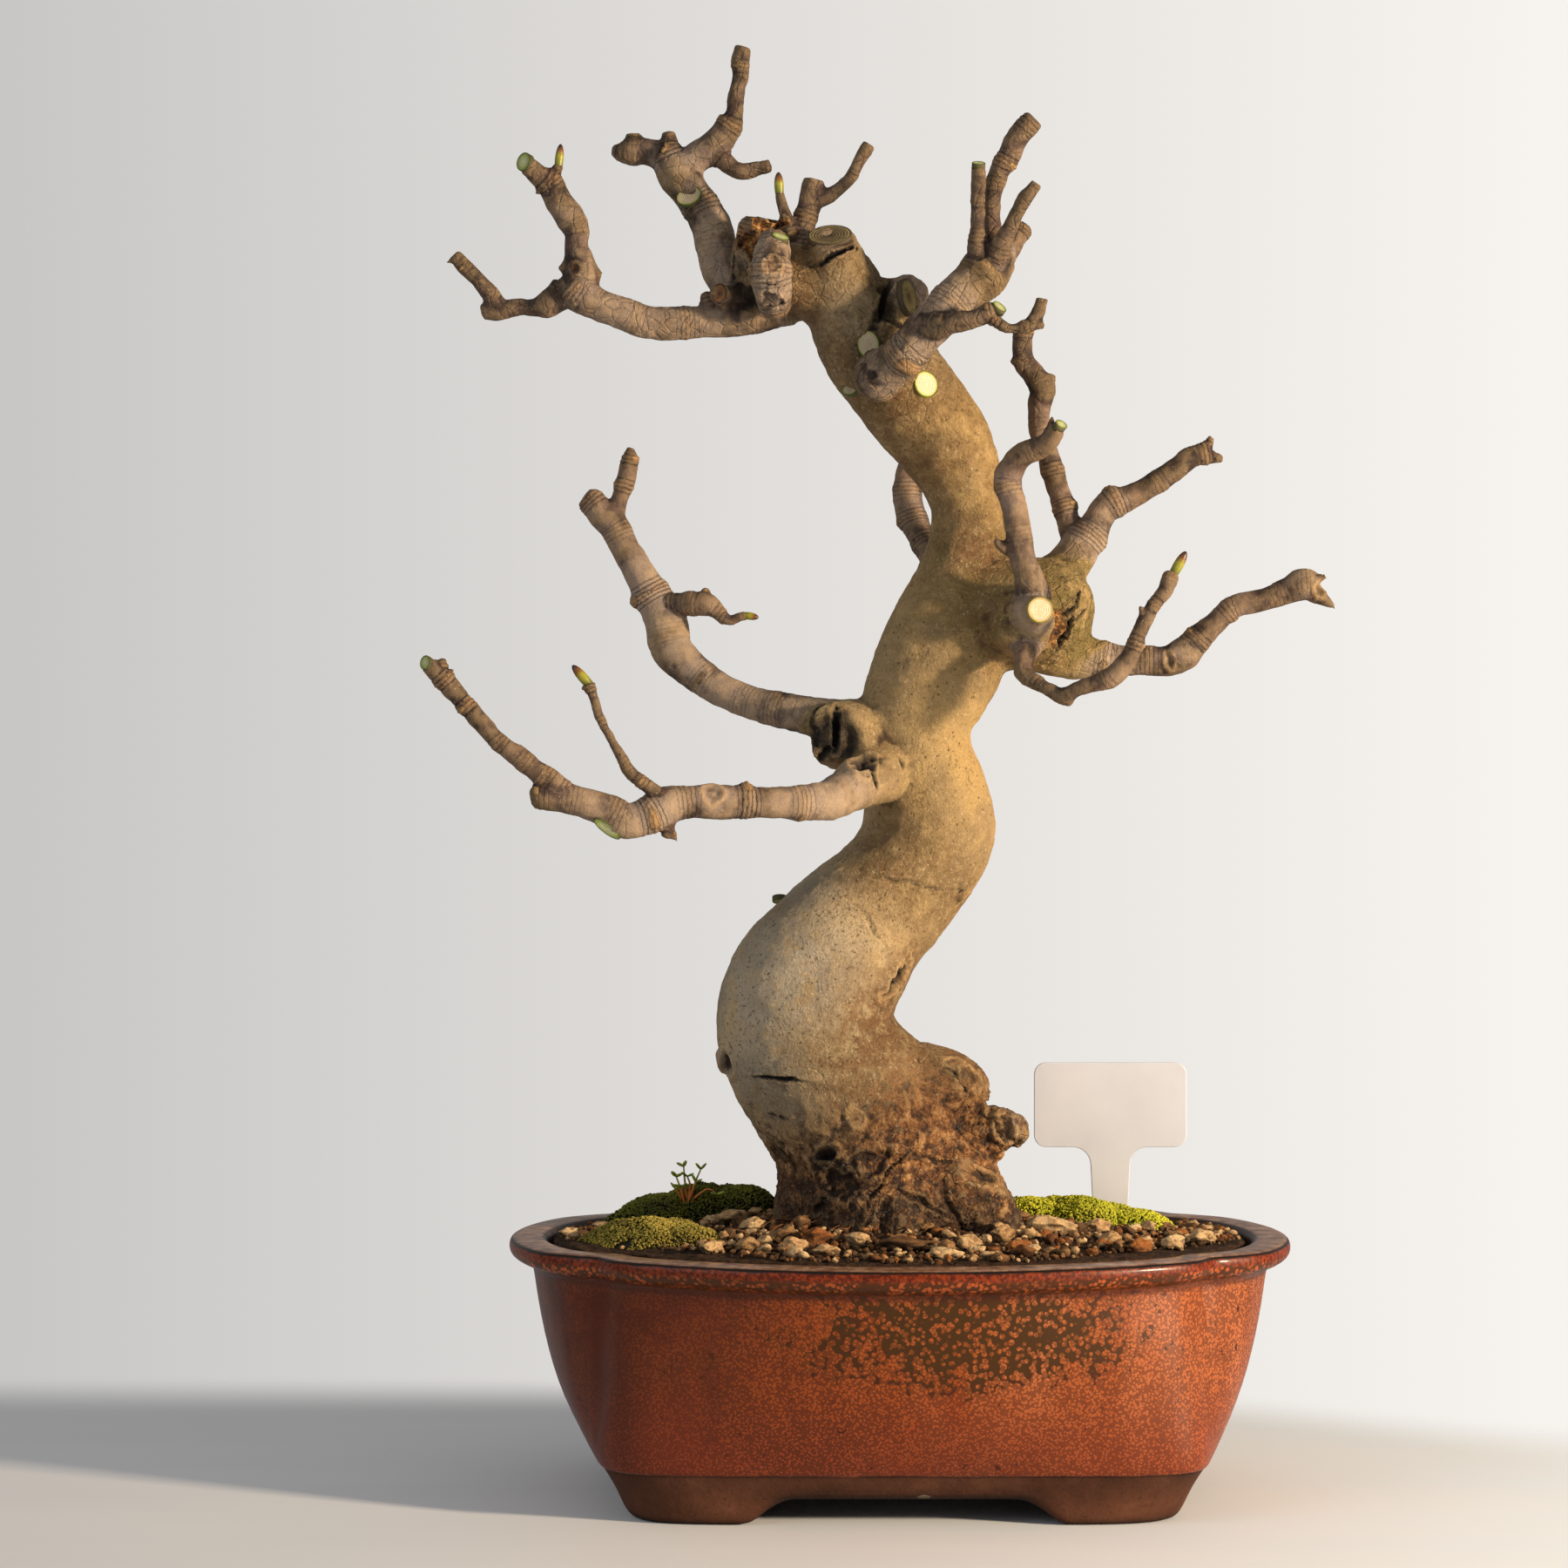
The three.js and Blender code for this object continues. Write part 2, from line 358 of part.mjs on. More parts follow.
// The pot
function makePot() {
  const body = lobed([
    [0, 0, underside],
    [94, 64, underside, 0, 1], [96, 66, 0, 0, 1],
    [105, 77, 0, 0, 1], [108, 79.5, 2.5, 0, 1], [111.5, 82.5, 12, 0, 1], [117, 87.5, 20, 0.5, 1],
    [123, 91.5, 25.5, 1, 0.85], [131, 97, 35, 2, 0.6], [139.4, 103.7, 57, 2.5, 0.3],
    [144, 108, 80, 2.5, 0.12], [145.5, 109.5, 90, 3, 0.05],
    [149.5, 112, 92.5, 3.5], [153.8, 114.8, 94.5, rimNotch], [potWidth / 2, potDepth / 2, 97, rimNotch],
    [154.5, 115.6, 100, rimNotch], [153, 114.3, rimHeight, rimNotch],
    [140.5, 98.5, rimHeight, rimNotch], [139.5, 97.5, 100, rimNotch], [138, 97, 92, rimNotch, 0.05],
    [130, 92, 55, 3, 0.3], [118, 84, 28, 2, 0.6], [108, 76, floorTop, 2, 0.7],
    [0, 0, floorTop],
  ]);
  const arch = (halfWide, halfTop) => {
    const outline = new THREE.Shape();
    outline.moveTo(-halfWide - 6, -5);
    outline.lineTo(halfWide + 6, -5);
    outline.lineTo(halfWide, 0);
    outline.quadraticCurveTo(halfTop + 4, archHeight - 3, halfTop, archHeight);
    outline.lineTo(-halfTop, archHeight);
    outline.quadraticCurveTo(-halfTop - 4, archHeight - 3, -halfWide, 0);
    return outline;
  };
  const frontArch = board(arch(58.5, 42), potDepth, 0);
  const sideArch = board(arch(34, 22), potWidth, 0);
  sideArch.rotateZ(Math.PI / 2);
  const drains = [-1, 1].map((side) => {
    const hole = new THREE.CylinderGeometry(drainHoleRadius, drainHoleRadius, 30, 24);
    hole.rotateX(Math.PI / 2);
    hole.translate(side * drainHoleOffset, 0, floorTop - 5);
    return solid(hole);
  });
  return [solid(frontArch), solid(sideArch), ...drains].reduce((pot, cut) => pot.subtract(cut), body);
}

// Plastic net that lies on the pot floor over a drain hole
const net = { side: 30, bar: 1.6, cells: 2, thickness: 1.2 };
function makeDrainMesh(side) {
  const bars = [];
  for (let i = 0; i <= net.cells; i++) {
    const offset = (i / net.cells - 0.5) * (net.side - net.bar);
    const along = new THREE.BoxGeometry(net.side, net.bar, net.thickness);
    along.translate(0, offset, 0);
    const across = new THREE.BoxGeometry(net.bar, net.side, net.thickness);
    across.translate(offset, 0, 0);
    bars.push(solid(along), solid(across));
  }
  return joined(bars).translate([side * drainHoleOffset, 0, floorTop + gap + net.thickness / 2]);
}

// The room that the nets take out of the soil
function netRoom(side) {
  const room = new THREE.BoxGeometry(net.side + 2 * gap, net.side + 2 * gap, 2 * (net.thickness + 2 * gap));
  room.translate(side * drainHoleOffset, 0, floorTop);
  return solid(room);
}

// Height of the soil, mounded round the trunk
function soilHeight(x, y) {
  const mound = Math.exp(-(((x + 2) / 68) ** 2) - ((y / 62) ** 2));
  return soilEdgeHeight + moundHeight * mound + 0.5 * Math.sin(x / 14 + 1) * Math.cos(y / 11);
}

// Everything in the pot up to a height over the soil, with the same rings for each layer.
// spill carries the top outwards, for a solid that is used as a cutter.
const groundRings = [0.72, 0.36];
const soilEdge = { halfWide: 137, halfDeep: 95.9 };
function ground(over, spill = 0) {
  const { halfWide, halfDeep } = soilEdge;
  const rings = [1, ...groundRings].map((part) => [halfWide * part, halfDeep * part, 'top', rimNotch * part ** 4]);
  const spilled = [halfWide + spill, halfDeep + spill];
  const cutterEdge = [[...spilled, underside, rimNotch], [...spilled, 'top', rimNotch]];
  const soilSide = [
    [107, 75, floorTop + gap, 2, 0.7], [116.4, 82.3, 28, 2, 0.6], [128.3, 90.1, 55, 3, 0.3],
    [halfWide, halfDeep, 92, rimNotch, 0.05],
  ];
  const bottom = spill ? [[0, 0, underside], ...cutterEdge] : [[0, 0, floorTop + gap], ...soilSide];
  const top = [...rings, [0, 0, 'top']];
  return lobed([...bottom, ...top], (x, y, z) => (z === 'top' ? soilHeight(x, y) + over : z));
}

function rootHole() {
  const base = Object.values(roots).map((route) => limb(route, rootSides, { grow: gap + 0.1 }));
  return joined([limb(trunk, trunkSides, { lumps: trunkLumps, grow: gap + 0.1 }), ...base]);
}

function labelOutline(grow = 0) {
  const { width, height, corner } = labelHead;
  const { topWidth, lowWidth, pointWidth } = labelStem;
  const { headTop, point } = labelPlace;
  const low = headTop - height;
  const outline = new THREE.Shape();
  outline.moveTo(-pointWidth / 2 - grow, point - grow);
  outline.lineTo(pointWidth / 2 + grow, point - grow);
  outline.lineTo(lowWidth / 2 + grow, point + 14);
  outline.lineTo(topWidth / 2 + grow, low - 7);
  outline.quadraticCurveTo(topWidth / 2 + 1, low, topWidth / 2 + 8, low);
  outline.lineTo(width / 2 - corner, low);
  outline.absarc(width / 2 - corner, low + corner, corner, -Math.PI / 2, 0);
  outline.absarc(width / 2 - corner, headTop - corner, corner, 0, Math.PI / 2);
  outline.absarc(corner - width / 2, headTop - corner, corner, Math.PI / 2, Math.PI);
  outline.absarc(corner - width / 2, low + corner, corner, Math.PI, Math.PI * 1.5);
  outline.lineTo(-topWidth / 2 - 8, low);
  outline.quadraticCurveTo(-topWidth / 2 - 1, low, -topWidth / 2 - grow, low - 7);
  outline.lineTo(-lowWidth / 2 - grow, point + 14);
  return outline;
}

function makeLabel(grow = 0) {
  const blade = board(labelOutline(grow), labelThickness + 2 * grow, 0);
  blade.translate(labelPlace.x, labelPlace.y, 0);
  return solid(blade);
}

// A stone: a ball with few faces, pressed flat and turned
function stone(x, y, length, width, height, turn) {
  const ball = new THREE.IcosahedronGeometry(1, 0);
  ball.rotateX(turn);
  ball.scale(length / 2, width / 2, height / 2);
  ball.rotateZ(THREE.MathUtils.degToRad(turn));
  ball.translate(x, y, soilHeight(x, y) + surfaceLayer + height * 0.26);
  return solid(ball);
}

function insidePot(x, y, part) {
  const angle = Math.atan2(y / soilEdge.halfDeep, x / soilEdge.halfWide);
  const reach = Math.hypot(x / soilEdge.halfWide, y / soilEdge.halfDeep);
  const corner = Math.abs(Math.sin(2 * angle)) ** 4;
  return reach < part - 0.1 * corner;
}

function clearOfOthers(x, y, room) {
  const inMoss = Object.values(mossMounds).some((mound) => {
    const across = (x - mound.x) / (mound.reachX + room);
    const deep = (y - mound.y) / (mound.reachY + room);
    return across ** 2 + deep ** 2 < 1;
  });
  const atTrunk = Math.hypot(x + 2, y) < 42 + room;
  const atLabel = Math.abs(x - labelPlace.x) < 9 + room && Math.abs(y - labelPlace.y) < room + 1;
  return !inMoss && !atTrunk && !atLabel;
}

function makeGravel(cutters) {
  const random = randomFrom(5);
  const pebbles = stones.map((row) => stone(...row));
  let placed = 0;
  while (placed < smallStoneCount) {
    const angle = random() * 2 * Math.PI;
    const out = Math.sqrt(0.2 + 0.62 * random());
    const x = Math.cos(angle) * out * soilEdge.halfWide;
    const y = Math.sin(angle) * out * soilEdge.halfDeep;
    const length = 5 + 4 * random();
    const turn = random() * 180;
    if (!insidePot(x, y, 0.93) || !clearOfOthers(x, y, 6)) continue;
    pebbles.push(stone(x, y, length, length * 0.8, length * 0.6, turn));
    placed++;
  }
  const bed = joined([ground(surfaceLayer), ...pebbles]);
  return cutters.reduce((whole, cutter) => whole.subtract(cutter), bed.subtract(ground(gap, 4)));
}

// A moss mound: cushions crowded together, flat where they meet the ground
function makeMoss({ x, y, reachX, reachY, height, cushions, seed }, cutters) {
  const random = randomFrom(seed);
  const lumps = [];
  for (let i = 0; i < cushions; i++) {
    const angle = i * 2.4;
    const out = 0.78 * Math.sqrt(i / cushions);
    const wide = (0.46 + 0.14 * random()) * Math.sqrt(reachX * reachY);
    const cushion = new THREE.IcosahedronGeometry(1, 1);
    const middleX = x + Math.cos(angle) * out * (reachX - 6);
    const middleY = y + Math.sin(angle) * out * (reachY - 6);
    const tall = height * (1 - 0.45 * out) + 3;
    cushion.scale(wide, wide * 0.86, tall);
    cushion.rotateZ(random() * Math.PI);
    cushion.translate(middleX, middleY, soilHeight(middleX, middleY) + surfaceLayer - 3);
    lumps.push(solid(cushion));
  }
  const mound = joined(lumps).intersect(ground(60));
  return [ground(surfaceLayer + gap, 8), ...cutters].reduce((whole, cutter) => whole.subtract(cutter), mound);
}

function makeSprout() {
  const parts = sproutStalks.map((route) => limb(route, pegSides));
  for (const route of sproutStalks) {
    const [x, y, z] = route.at(-1);
    const head = new THREE.IcosahedronGeometry(1.9, 0);
    head.scale(1, 1, 1.3);
    head.translate(x, y, z + 1.2);
    parts.push(solid(head));
  }
  return joined(parts);
}

function makeTree() {
  return joined([
    limb(trunk, trunkSides, { lumps: trunkLumps }),
    ...Object.values(roots).map((route) => limb(route, rootSides)),
    ...Object.values(burls).map((route) => limb(route, burlSides)),
    ...Object.values(limbs).map((route) => limb(route, limbSides)),
    ...Object.values(pegs).map((route) => limb(route, pegSides)),
  ]);
}

const finishes = {
  bark: { color: 0x8d7a5e, roughness: 0.85 },
  glaze: { color: 0x7a3f24, roughness: 0.3 },
  net: { color: 0x1f2421, roughness: 0.6 },
  soil: { color: 0x33261b, roughness: 1 },
  stone: { color: 0x8e7b66, roughness: 0.9 },
  darkMoss: { color: 0x3d4a1c, roughness: 1 },
  lightMoss: { color: 0x7d8a2e, roughness: 1 },
  plastic: { color: 0xf2f1ec, roughness: 0.45 },
  sprout: { color: 0x8f8a2c, roughness: 0.8 },
};

function piece(name, body, finish) {
  const mesh = new THREE.Mesh(geometryOf(body), new THREE.MeshStandardMaterial({ metalness: 0, ...finishes[finish] }));
  mesh.name = name;
  return mesh;
}

const hole = rootHole();
const labelSlot = makeLabel(gap);
const tree = makeTree();
const sprout = makeSprout();
const sproutSocket = joined(sproutStalks.map((route) => limb(route, pegSides, { grow: gap + 0.1 })));
const soil = [hole, labelSlot, netRoom(-1), netRoom(1)].reduce((whole, cutter) => whole.subtract(cutter), ground(0));

const bonsai = new THREE.Group();
bonsai.add(
  piece('tree', tree, 'bark'),
  piece('pot', makePot(), 'glaze'),
  piece('drain_mesh_left', makeDrainMesh(-1), 'net'),
  piece('drain_mesh_right', makeDrainMesh(1), 'net'),
  piece('soil', soil, 'soil'),
  piece('gravel', makeGravel([hole, labelSlot]), 'stone'),
  piece('moss_left_back', makeMoss(mossMounds.moss_left_back, [hole, sproutSocket]), 'darkMoss'),
  piece('moss_left_front', makeMoss(mossMounds.moss_left_front, [hole]), 'lightMoss'),
  piece('moss_right', makeMoss(mossMounds.moss_right, [hole, labelSlot]), 'lightMoss'),
  piece('label', makeLabel(), 'plastic'),
  piece('sprout', sprout, 'sprout'),
);

// The origin is under the middle of the whole plant's box, on the surface that it stands on
const box = new THREE.Box3().setFromObject(bonsai);
const middle = box.getCenter(new THREE.Vector3());
bonsai.position.set(-middle.x, -middle.y, -box.min.z);

const group = new THREE.Group();
group.add(bonsai);
export default group;
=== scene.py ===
# Looks of a winter-bare fig bonsai in a lobed glazed pot: bark, glaze, soil, stones, moss, label, light.
# Sizes are in metres. Routes and outlines are written in millimetres from the middle of the pot.
import math
import random

import bmesh
import bpy
import numpy as np
from mathutils import Matrix, Vector, noise
from mathutils.bvhtree import BVHTree
from mathutils.kdtree import KDTree


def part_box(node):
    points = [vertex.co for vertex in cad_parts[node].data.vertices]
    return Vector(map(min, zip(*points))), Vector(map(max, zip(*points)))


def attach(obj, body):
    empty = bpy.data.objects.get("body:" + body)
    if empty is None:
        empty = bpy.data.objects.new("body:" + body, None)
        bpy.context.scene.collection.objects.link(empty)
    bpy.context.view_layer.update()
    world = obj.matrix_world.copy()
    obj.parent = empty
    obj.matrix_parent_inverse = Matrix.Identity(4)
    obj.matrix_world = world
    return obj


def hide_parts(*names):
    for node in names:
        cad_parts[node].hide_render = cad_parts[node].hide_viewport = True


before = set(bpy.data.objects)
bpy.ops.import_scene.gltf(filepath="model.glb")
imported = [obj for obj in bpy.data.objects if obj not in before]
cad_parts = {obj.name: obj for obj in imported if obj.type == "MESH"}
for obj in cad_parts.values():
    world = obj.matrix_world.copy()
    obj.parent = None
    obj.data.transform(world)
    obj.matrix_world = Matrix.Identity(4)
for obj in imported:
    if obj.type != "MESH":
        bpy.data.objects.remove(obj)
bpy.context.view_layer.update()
mm = 0.001
potLow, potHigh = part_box("pot")
potShift = Vector(((potLow.x + potHigh.x) / 2, (potLow.y + potHigh.y) / 2, 0))

noise.seed_set(5)  # the noise vectors would follow the clock otherwise

photo = {"side": 1800, "middle": 900, "eye": (-45.8, -1480, 280), "away": 1.48, "lens": 85.3, "sensor": 36}


def place(x, y, z):
    return Vector((x, y, z)) * mm + potShift


def colour(code):  # a screen colour such as "b8a67e" as linear light
    parts = [int(code[i:i + 2], 16) / 255 for i in (0, 2, 4)]
    return (*[c / 12.92 if c <= 0.04045 else ((c + 0.055) / 1.055) ** 2.4 for c in parts], 1.0)


# Shader maths

class Wire:  # a socket whose + - * / add Math nodes
    def __init__(self, tree, socket):
        self.tree = tree
        self.socket = socket

    def maths(self, operation, *values):
        return self.tree.add("ShaderNodeMath", {"operation": operation}, dict(enumerate(values)))

    def __add__(self, other):
        return self.maths("ADD", self, other)

    def __sub__(self, other):
        return self.maths("SUBTRACT", self, other)

    def __rsub__(self, other):
        return self.maths("SUBTRACT", other, self)

    def __mul__(self, other):
        return self.maths("MULTIPLY", self, other)

    def __truediv__(self, other):
        return self.maths("DIVIDE", self, other)

    def __rtruediv__(self, other):
        return self.maths("DIVIDE", other, self)

    __radd__ = __add__
    __rmul__ = __mul__

    def size(self):
        return self.maths("ABSOLUTE", self)

    def fract(self):
        return self.maths("FRACT", self)

    def wave(self):
        return self.maths("SINE", self)

    def clamped(self):
        return self.maths("MAXIMUM", self.maths("MINIMUM", self, 1.0), 0.0)

    def rise(self, low, high, start=0.0, end=1.0):  # start below low, end above high, smooth between
        values = {"Value": self, "From Min": low, "From Max": high, "To Min": start, "To Max": end}
        return self.tree.add("ShaderNodeMapRange", {"interpolation_type": "SMOOTHSTEP"}, values)

    def fall(self, low, high):
        return self.rise(low, high, 1.0, 0.0)


class Nodes:  # a node tree and the one method that adds to it
    def __init__(self, tree):
        self.nodes = tree.nodes
        self.links = tree.links

    def add(self, kind, settings, values, out=0):
        node = self.nodes.new(kind)
        for key, value in settings.items():
            if key == "stops":
                self.setStops(node, value)
            else:
                setattr(node, key, value)
        self.fill(node, values)
        return Wire(self, node.outputs[out])

    def setStops(self, node, stops):
        ramp = node.color_ramp.elements
        while len(ramp) < len(stops):
            ramp.new(0.5)
        for element, (position, code) in zip(ramp, stops):
            element.position = position
            element.color = colour(code)

    def fill(self, node, values):
        for key, value in values.items():
            socket = node.inputs[key]
            if isinstance(value, Wire):
                self.links.new(value.socket, socket)
            else:
                socket.default_value = colour(value) if isinstance(value, str) else value


class Paint(Nodes):  # one material, built by its methods
    def __init__(self, name):
        self.material = bpy.data.materials.new(name)
        self.material.use_nodes = True
        super().__init__(self.material.node_tree)
        self.shader = self.nodes["Principled BSDF"]
        self.where = self.add("ShaderNodeTexCoord", {}, {}, "Object")

    def noise(self, scale, detail=3.0, rough=0.55, warp=0.0, at=None):
        values = {"Vector": at or self.where, "Scale": scale, "Detail": detail, "Roughness": rough}
        return self.add("ShaderNodeTexNoise", {}, {**values, "Distortion": warp})

    def cells(self, scale, feature="F1", out="Distance"):
        values = {"Vector": self.where, "Scale": scale}
        return self.add("ShaderNodeTexVoronoi", {"feature": feature}, values, out)

    def dots(self, scale, low, high, rareLow, rareHigh):  # round dots in some of the cells
        return self.cells(scale).fall(low, high) * self.cells(scale, out="Color").rise(rareLow, rareHigh)

    def stretched(self, x, y, z):
        return self.add("ShaderNodeMapping", {}, {"Vector": self.where, "Scale": (x, y, z)})

    def attribute(self, name):
        return self.add("ShaderNodeAttribute", {"attribute_name": name}, {}, "Fac")

    def axis(self, name):
        return self.add("ShaderNodeSeparateXYZ", {}, {0: self.where}, name)

    def upward(self):  # 1 where the skin faces up, -1 where it faces down
        normal = self.add("ShaderNodeNewGeometry", {}, {}, "Normal")
        return self.add("ShaderNodeSeparateXYZ", {}, {0: normal}, "Z")

    def mix(self, share, first, second, blend="MIX"):
        settings = {"data_type": "RGBA", "blend_type": blend}
        return self.add("ShaderNodeMix", settings, {0: share, 6: first, 7: second}, 2)

    def ramp(self, share, stops):
        return self.add("ShaderNodeValToRGB", {"stops": stops}, {0: share}, "Color")

    def finish(self, base, rough, bumps=(), **fixed):
        self.fill(self.shader, {"Base Color": base, "Roughness": rough})
        normal = {}
        for height, distance in bumps:  # distance in millimetres
            values = {"Height": height, "Distance": distance * mm, "Strength": 1.0, **normal}
            normal = {"Normal": self.add("ShaderNodeBump", {}, values, "Normal")}
        self.fill(self.shader, normal)
        self.fill(self.shader, {name.replace("_", " "): value for name, value in fixed.items()})
        return self.material


# Mesh helpers

def newObject(name, data):
    piece = bpy.data.objects.new(name, data)
    bpy.context.scene.collection.objects.link(piece)
    return piece


def setSmooth(mesh, smooth=True):
    mesh.polygons.foreach_set("use_smooth", [smooth] * len(mesh.polygons))


def fromBmesh(name, bm, smooth=True):
    mesh = bpy.data.meshes.new(name)
    bm.to_mesh(mesh)
    bm.free()
    setSmooth(mesh, smooth)
    return newObject(name, mesh)


def pourInto(bm, piece):  # moves a helper piece's mesh into bm
    bm.from_mesh(piece.data)
    bpy.data.objects.remove(piece)


def onlyVerts(made):
    return [part for part in made if isinstance(part, bmesh.types.BMVert)]


def edgesOf(verts):
    return list({edge for corner in verts for edge in corner.link_edges})


def capLoop(bm, edges):  # a many-sided cap would slow the subdivision down, so it is made of triangles
    cap = bmesh.ops.contextual_create(bm, geom=[edge for edge in edges if edge.is_boundary])["faces"]
    bmesh.ops.triangulate(bm, faces=cap)


def stackRings(bm, count, rings, setRing):  # joined rings of corners; setRing places those of one ring
    first = bmesh.ops.create_circle(bm, segments=count, radius=1.0)["verts"]
    fresh, edges = first, edgesOf(first)
    for number in range(rings):
        if number:
            made = bmesh.ops.extrude_edge_only(bm, edges=edges)["geom"]
            fresh = onlyVerts(made)
            edges = [part for part in made if isinstance(part, bmesh.types.BMEdge) and part.is_boundary]
        fresh = sorted(fresh, key=lambda corner: math.atan2(corner.co.y, corner.co.x))
        angles = [2 * math.pi * order / count - math.pi for order in range(count)]
        setRing(number, list(zip(fresh, angles)))
    return first, edges


def bake(piece):  # modifiers or curve to a plain mesh
    depsgraph = bpy.context.evaluated_depsgraph_get()
    mesh = bpy.data.meshes.new_from_object(piece.evaluated_get(depsgraph))
    old = piece.data
    name = piece.name
    if piece.type == "CURVE":
        bpy.data.objects.remove(piece)
        bpy.data.curves.remove(old)
        return newObject(name, mesh)
    piece.modifiers.clear()
    piece.data = mesh
    bpy.data.meshes.remove(old)
    return piece


def modify(piece, kind, **settings):
    modifier = piece.modifiers.new(kind.title(), kind)
    for key, value in settings.items():
        setattr(modifier, key, value)


def roughen(piece, name, scale, depth, strength, **settings):  # pushes the skin out and in by a cloud pattern
    clouds = bpy.data.textures.new(name, "CLOUDS")
    clouds.noise_scale = scale
    clouds.noise_depth = depth
    modify(piece, "DISPLACE", texture=clouds, strength=strength * mm, mid_level=0.5, texture_coords="LOCAL",
           **settings)


def corners(mesh):
    values = np.empty(len(mesh.vertices) * 3, np.float32)
    mesh.vertices.foreach_get("co", values)
    return values.reshape(-1, 3)


def cornerNormals(mesh):
    values = np.empty(len(mesh.vertices) * 3, np.float32)
    mesh.vertex_normals.foreach_get("vector", values)
    return values.reshape(-1, 3)


def setCorners(mesh, values):
    mesh.vertices.foreach_set("co", values.astype(np.float32).ravel())
    mesh.update()


def setAttribute(mesh, name, values):
    layer = mesh.attributes.new(name, "FLOAT", "POINT")
    layer.data.foreach_set("value", np.asarray(values, np.float32))


def setGroup(piece, name, weights, levels=20):
    group = piece.vertex_groups.new(name=name)
    steps = np.clip((weights * levels).astype(int), 0, levels)
    for step in range(1, levels + 1):
        chosen = np.flatnonzero(steps == step)
        if len(chosen):
            group.add(chosen.tolist(), step / levels, "REPLACE")


def neighbourAverage(mesh, values, rounds):
    pairs = np.empty(len(mesh.edges) * 2, np.int32)
    mesh.edges.foreach_get("vertices", pairs)
    first, second = pairs[0::2], pairs[1::2]
    count = np.bincount(pairs, minlength=len(mesh.vertices)).astype(np.float32)
    for _ in range(rounds):
        total = np.bincount(first, values[second], len(count))
        total = total + np.bincount(second, values[first], len(count))
        values = 0.4 * values + 0.6 * total / np.maximum(count, 1)
    return values


def settle(piece, material, slot, *nodes):  # gives a finished piece its material and its place in the frame
    piece.data.materials.clear()
    piece.data.materials.append(material)
    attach(piece, "root")
    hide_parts(*nodes)
    print(piece.name, len(piece.data.polygons), "faces")


def smoothStep(values, low, high):
    t = np.clip((values - low) / (high - low), 0, 1)
    return t * t * (3 - 2 * t)


# The tree: x, y, z and radius along each limb

trunk = [
    [0, 0, 72, 35], [-1, 0, 93, 42], [-2, 0, 106, 45], [-5, 0, 120, 43.5], [-9, 0, 134, 41],
    [-16, 0, 148, 38.5], [-27, -2, 162, 36], [-35, -3, 174, 34.5], [-38, -4, 187, 34.5],
    [-34, -4, 200, 34.5], [-25, -3, 213, 31.5], [-16, 0, 224, 28.5], [-3, 3, 237, 26], [7, 5, 250, 25.5],
    [12, 6, 262, 27], [11, 5, 276, 25], [7, 3, 292, 23], [7, 2, 306, 23], [12, 2, 320, 25],
    [18, 3, 334, 25.5], [23, 4, 350, 23], [26, 5, 365, 18.5], [28, 5, 381, 15.5], [27, 4, 397, 16],
    [20, 2, 413, 18.5], [9, -2, 427, 20], [-2, -6, 441, 20.5], [-12, -10, 454, 20.5], [-20, -14, 468, 17.5],
    [-25, -22, 482, 13.5], [-26, -34, 492, 8.5],
]
roots = {
    "front": [[-5, -16, 127, 18], [-1, -34, 113, 13], [2, -42, 96, 8]],
    "right": [[3, -8, 133, 21], [21, -20, 121, 18.5], [34, -26, 110, 13], [44, -30, 95, 8]],
    "left": [[-23, -4, 129, 21], [-38, -8, 113, 12.5], [-45, -10, 94, 7.5]],
    "back": [[0, 15, 122, 17.5], [4, 38, 102, 12], [6, 46, 85, 7]],
    "backLeft": [[-21, 14, 122, 17.5], [-34, 32, 103, 11.5], [-44, 40, 86, 6.5]],
    "backRight": [[21, 10, 123, 17], [39, 26, 103, 11.5], [51, 34, 87, 6.5]],
}
burls = {
    "baseTop": [[-15, -4, 154, 20], [3, -8, 162, 16], [17, -10, 161, 15], [27, -10, 158, 12],
                [33, -10, 155, 7]],
    "baseKnob": [[23, -6, 137, 14.5], [36, -12, 142, 11.5], [43, -14, 143, 9], [48, -14, 140, 4]],
    "leftEar": [[-63, -8, 172, 7.5], [-69, -10, 171, 6], [-72, -10, 170, 4]],
    "hollow": [[-6, 0, 297, 14.5], [-18, -6, 299, 14], [-29, -8, 299, 13], [-35, -8, 298, 9.5]],
    "right": [[25, 3, 344, 21.5], [41, 0, 347, 22], [55, -2, 348, 22.5], [66, -3, 349, 20],
              [73, -3, 349, 14.5], [77, -3, 349, 7]],
    "front": [[-4, -5, 448, 12], [-8, -22, 441, 10.5], [-10, -32, 438, 8], [-11, -38, 437, 4]],
    "oldStump": [[-11, -10, 463, 13], [-4, -14, 468, 11], [1, -19, 471, 9], [5, -24, 473, 8]],
    "apexCore": [[-17, -12, 469, 16], [-32, -16, 476, 15], [-45, -18, 479, 13], [-55, -16, 478, 10.5],
                 [-64, -12, 477, 8.5]],
    "apexHollow": [[-57, -14, 479, 10.5], [-57, -16, 489, 9.5], [-55, -18, 497, 8], [-54, -19, 502, 7.5]],
    "apexNose": [[-49, -28, 465, 5], [-50, -34, 471, 7.5], [-51, -37, 479, 8], [-50, -35, 487, 7],
                 [-49, -31, 493, 5]],
    "apexSide": [[-63, -14, 470, 6], [-69, -24, 471, 4.5], [-71, -33, 471, 4]],
    "frontStub": [[46, 0, 342, 14.5], [48, -22, 343, 12.5], [51, -36, 346, 8], [53, -46, 347, 5]],
}
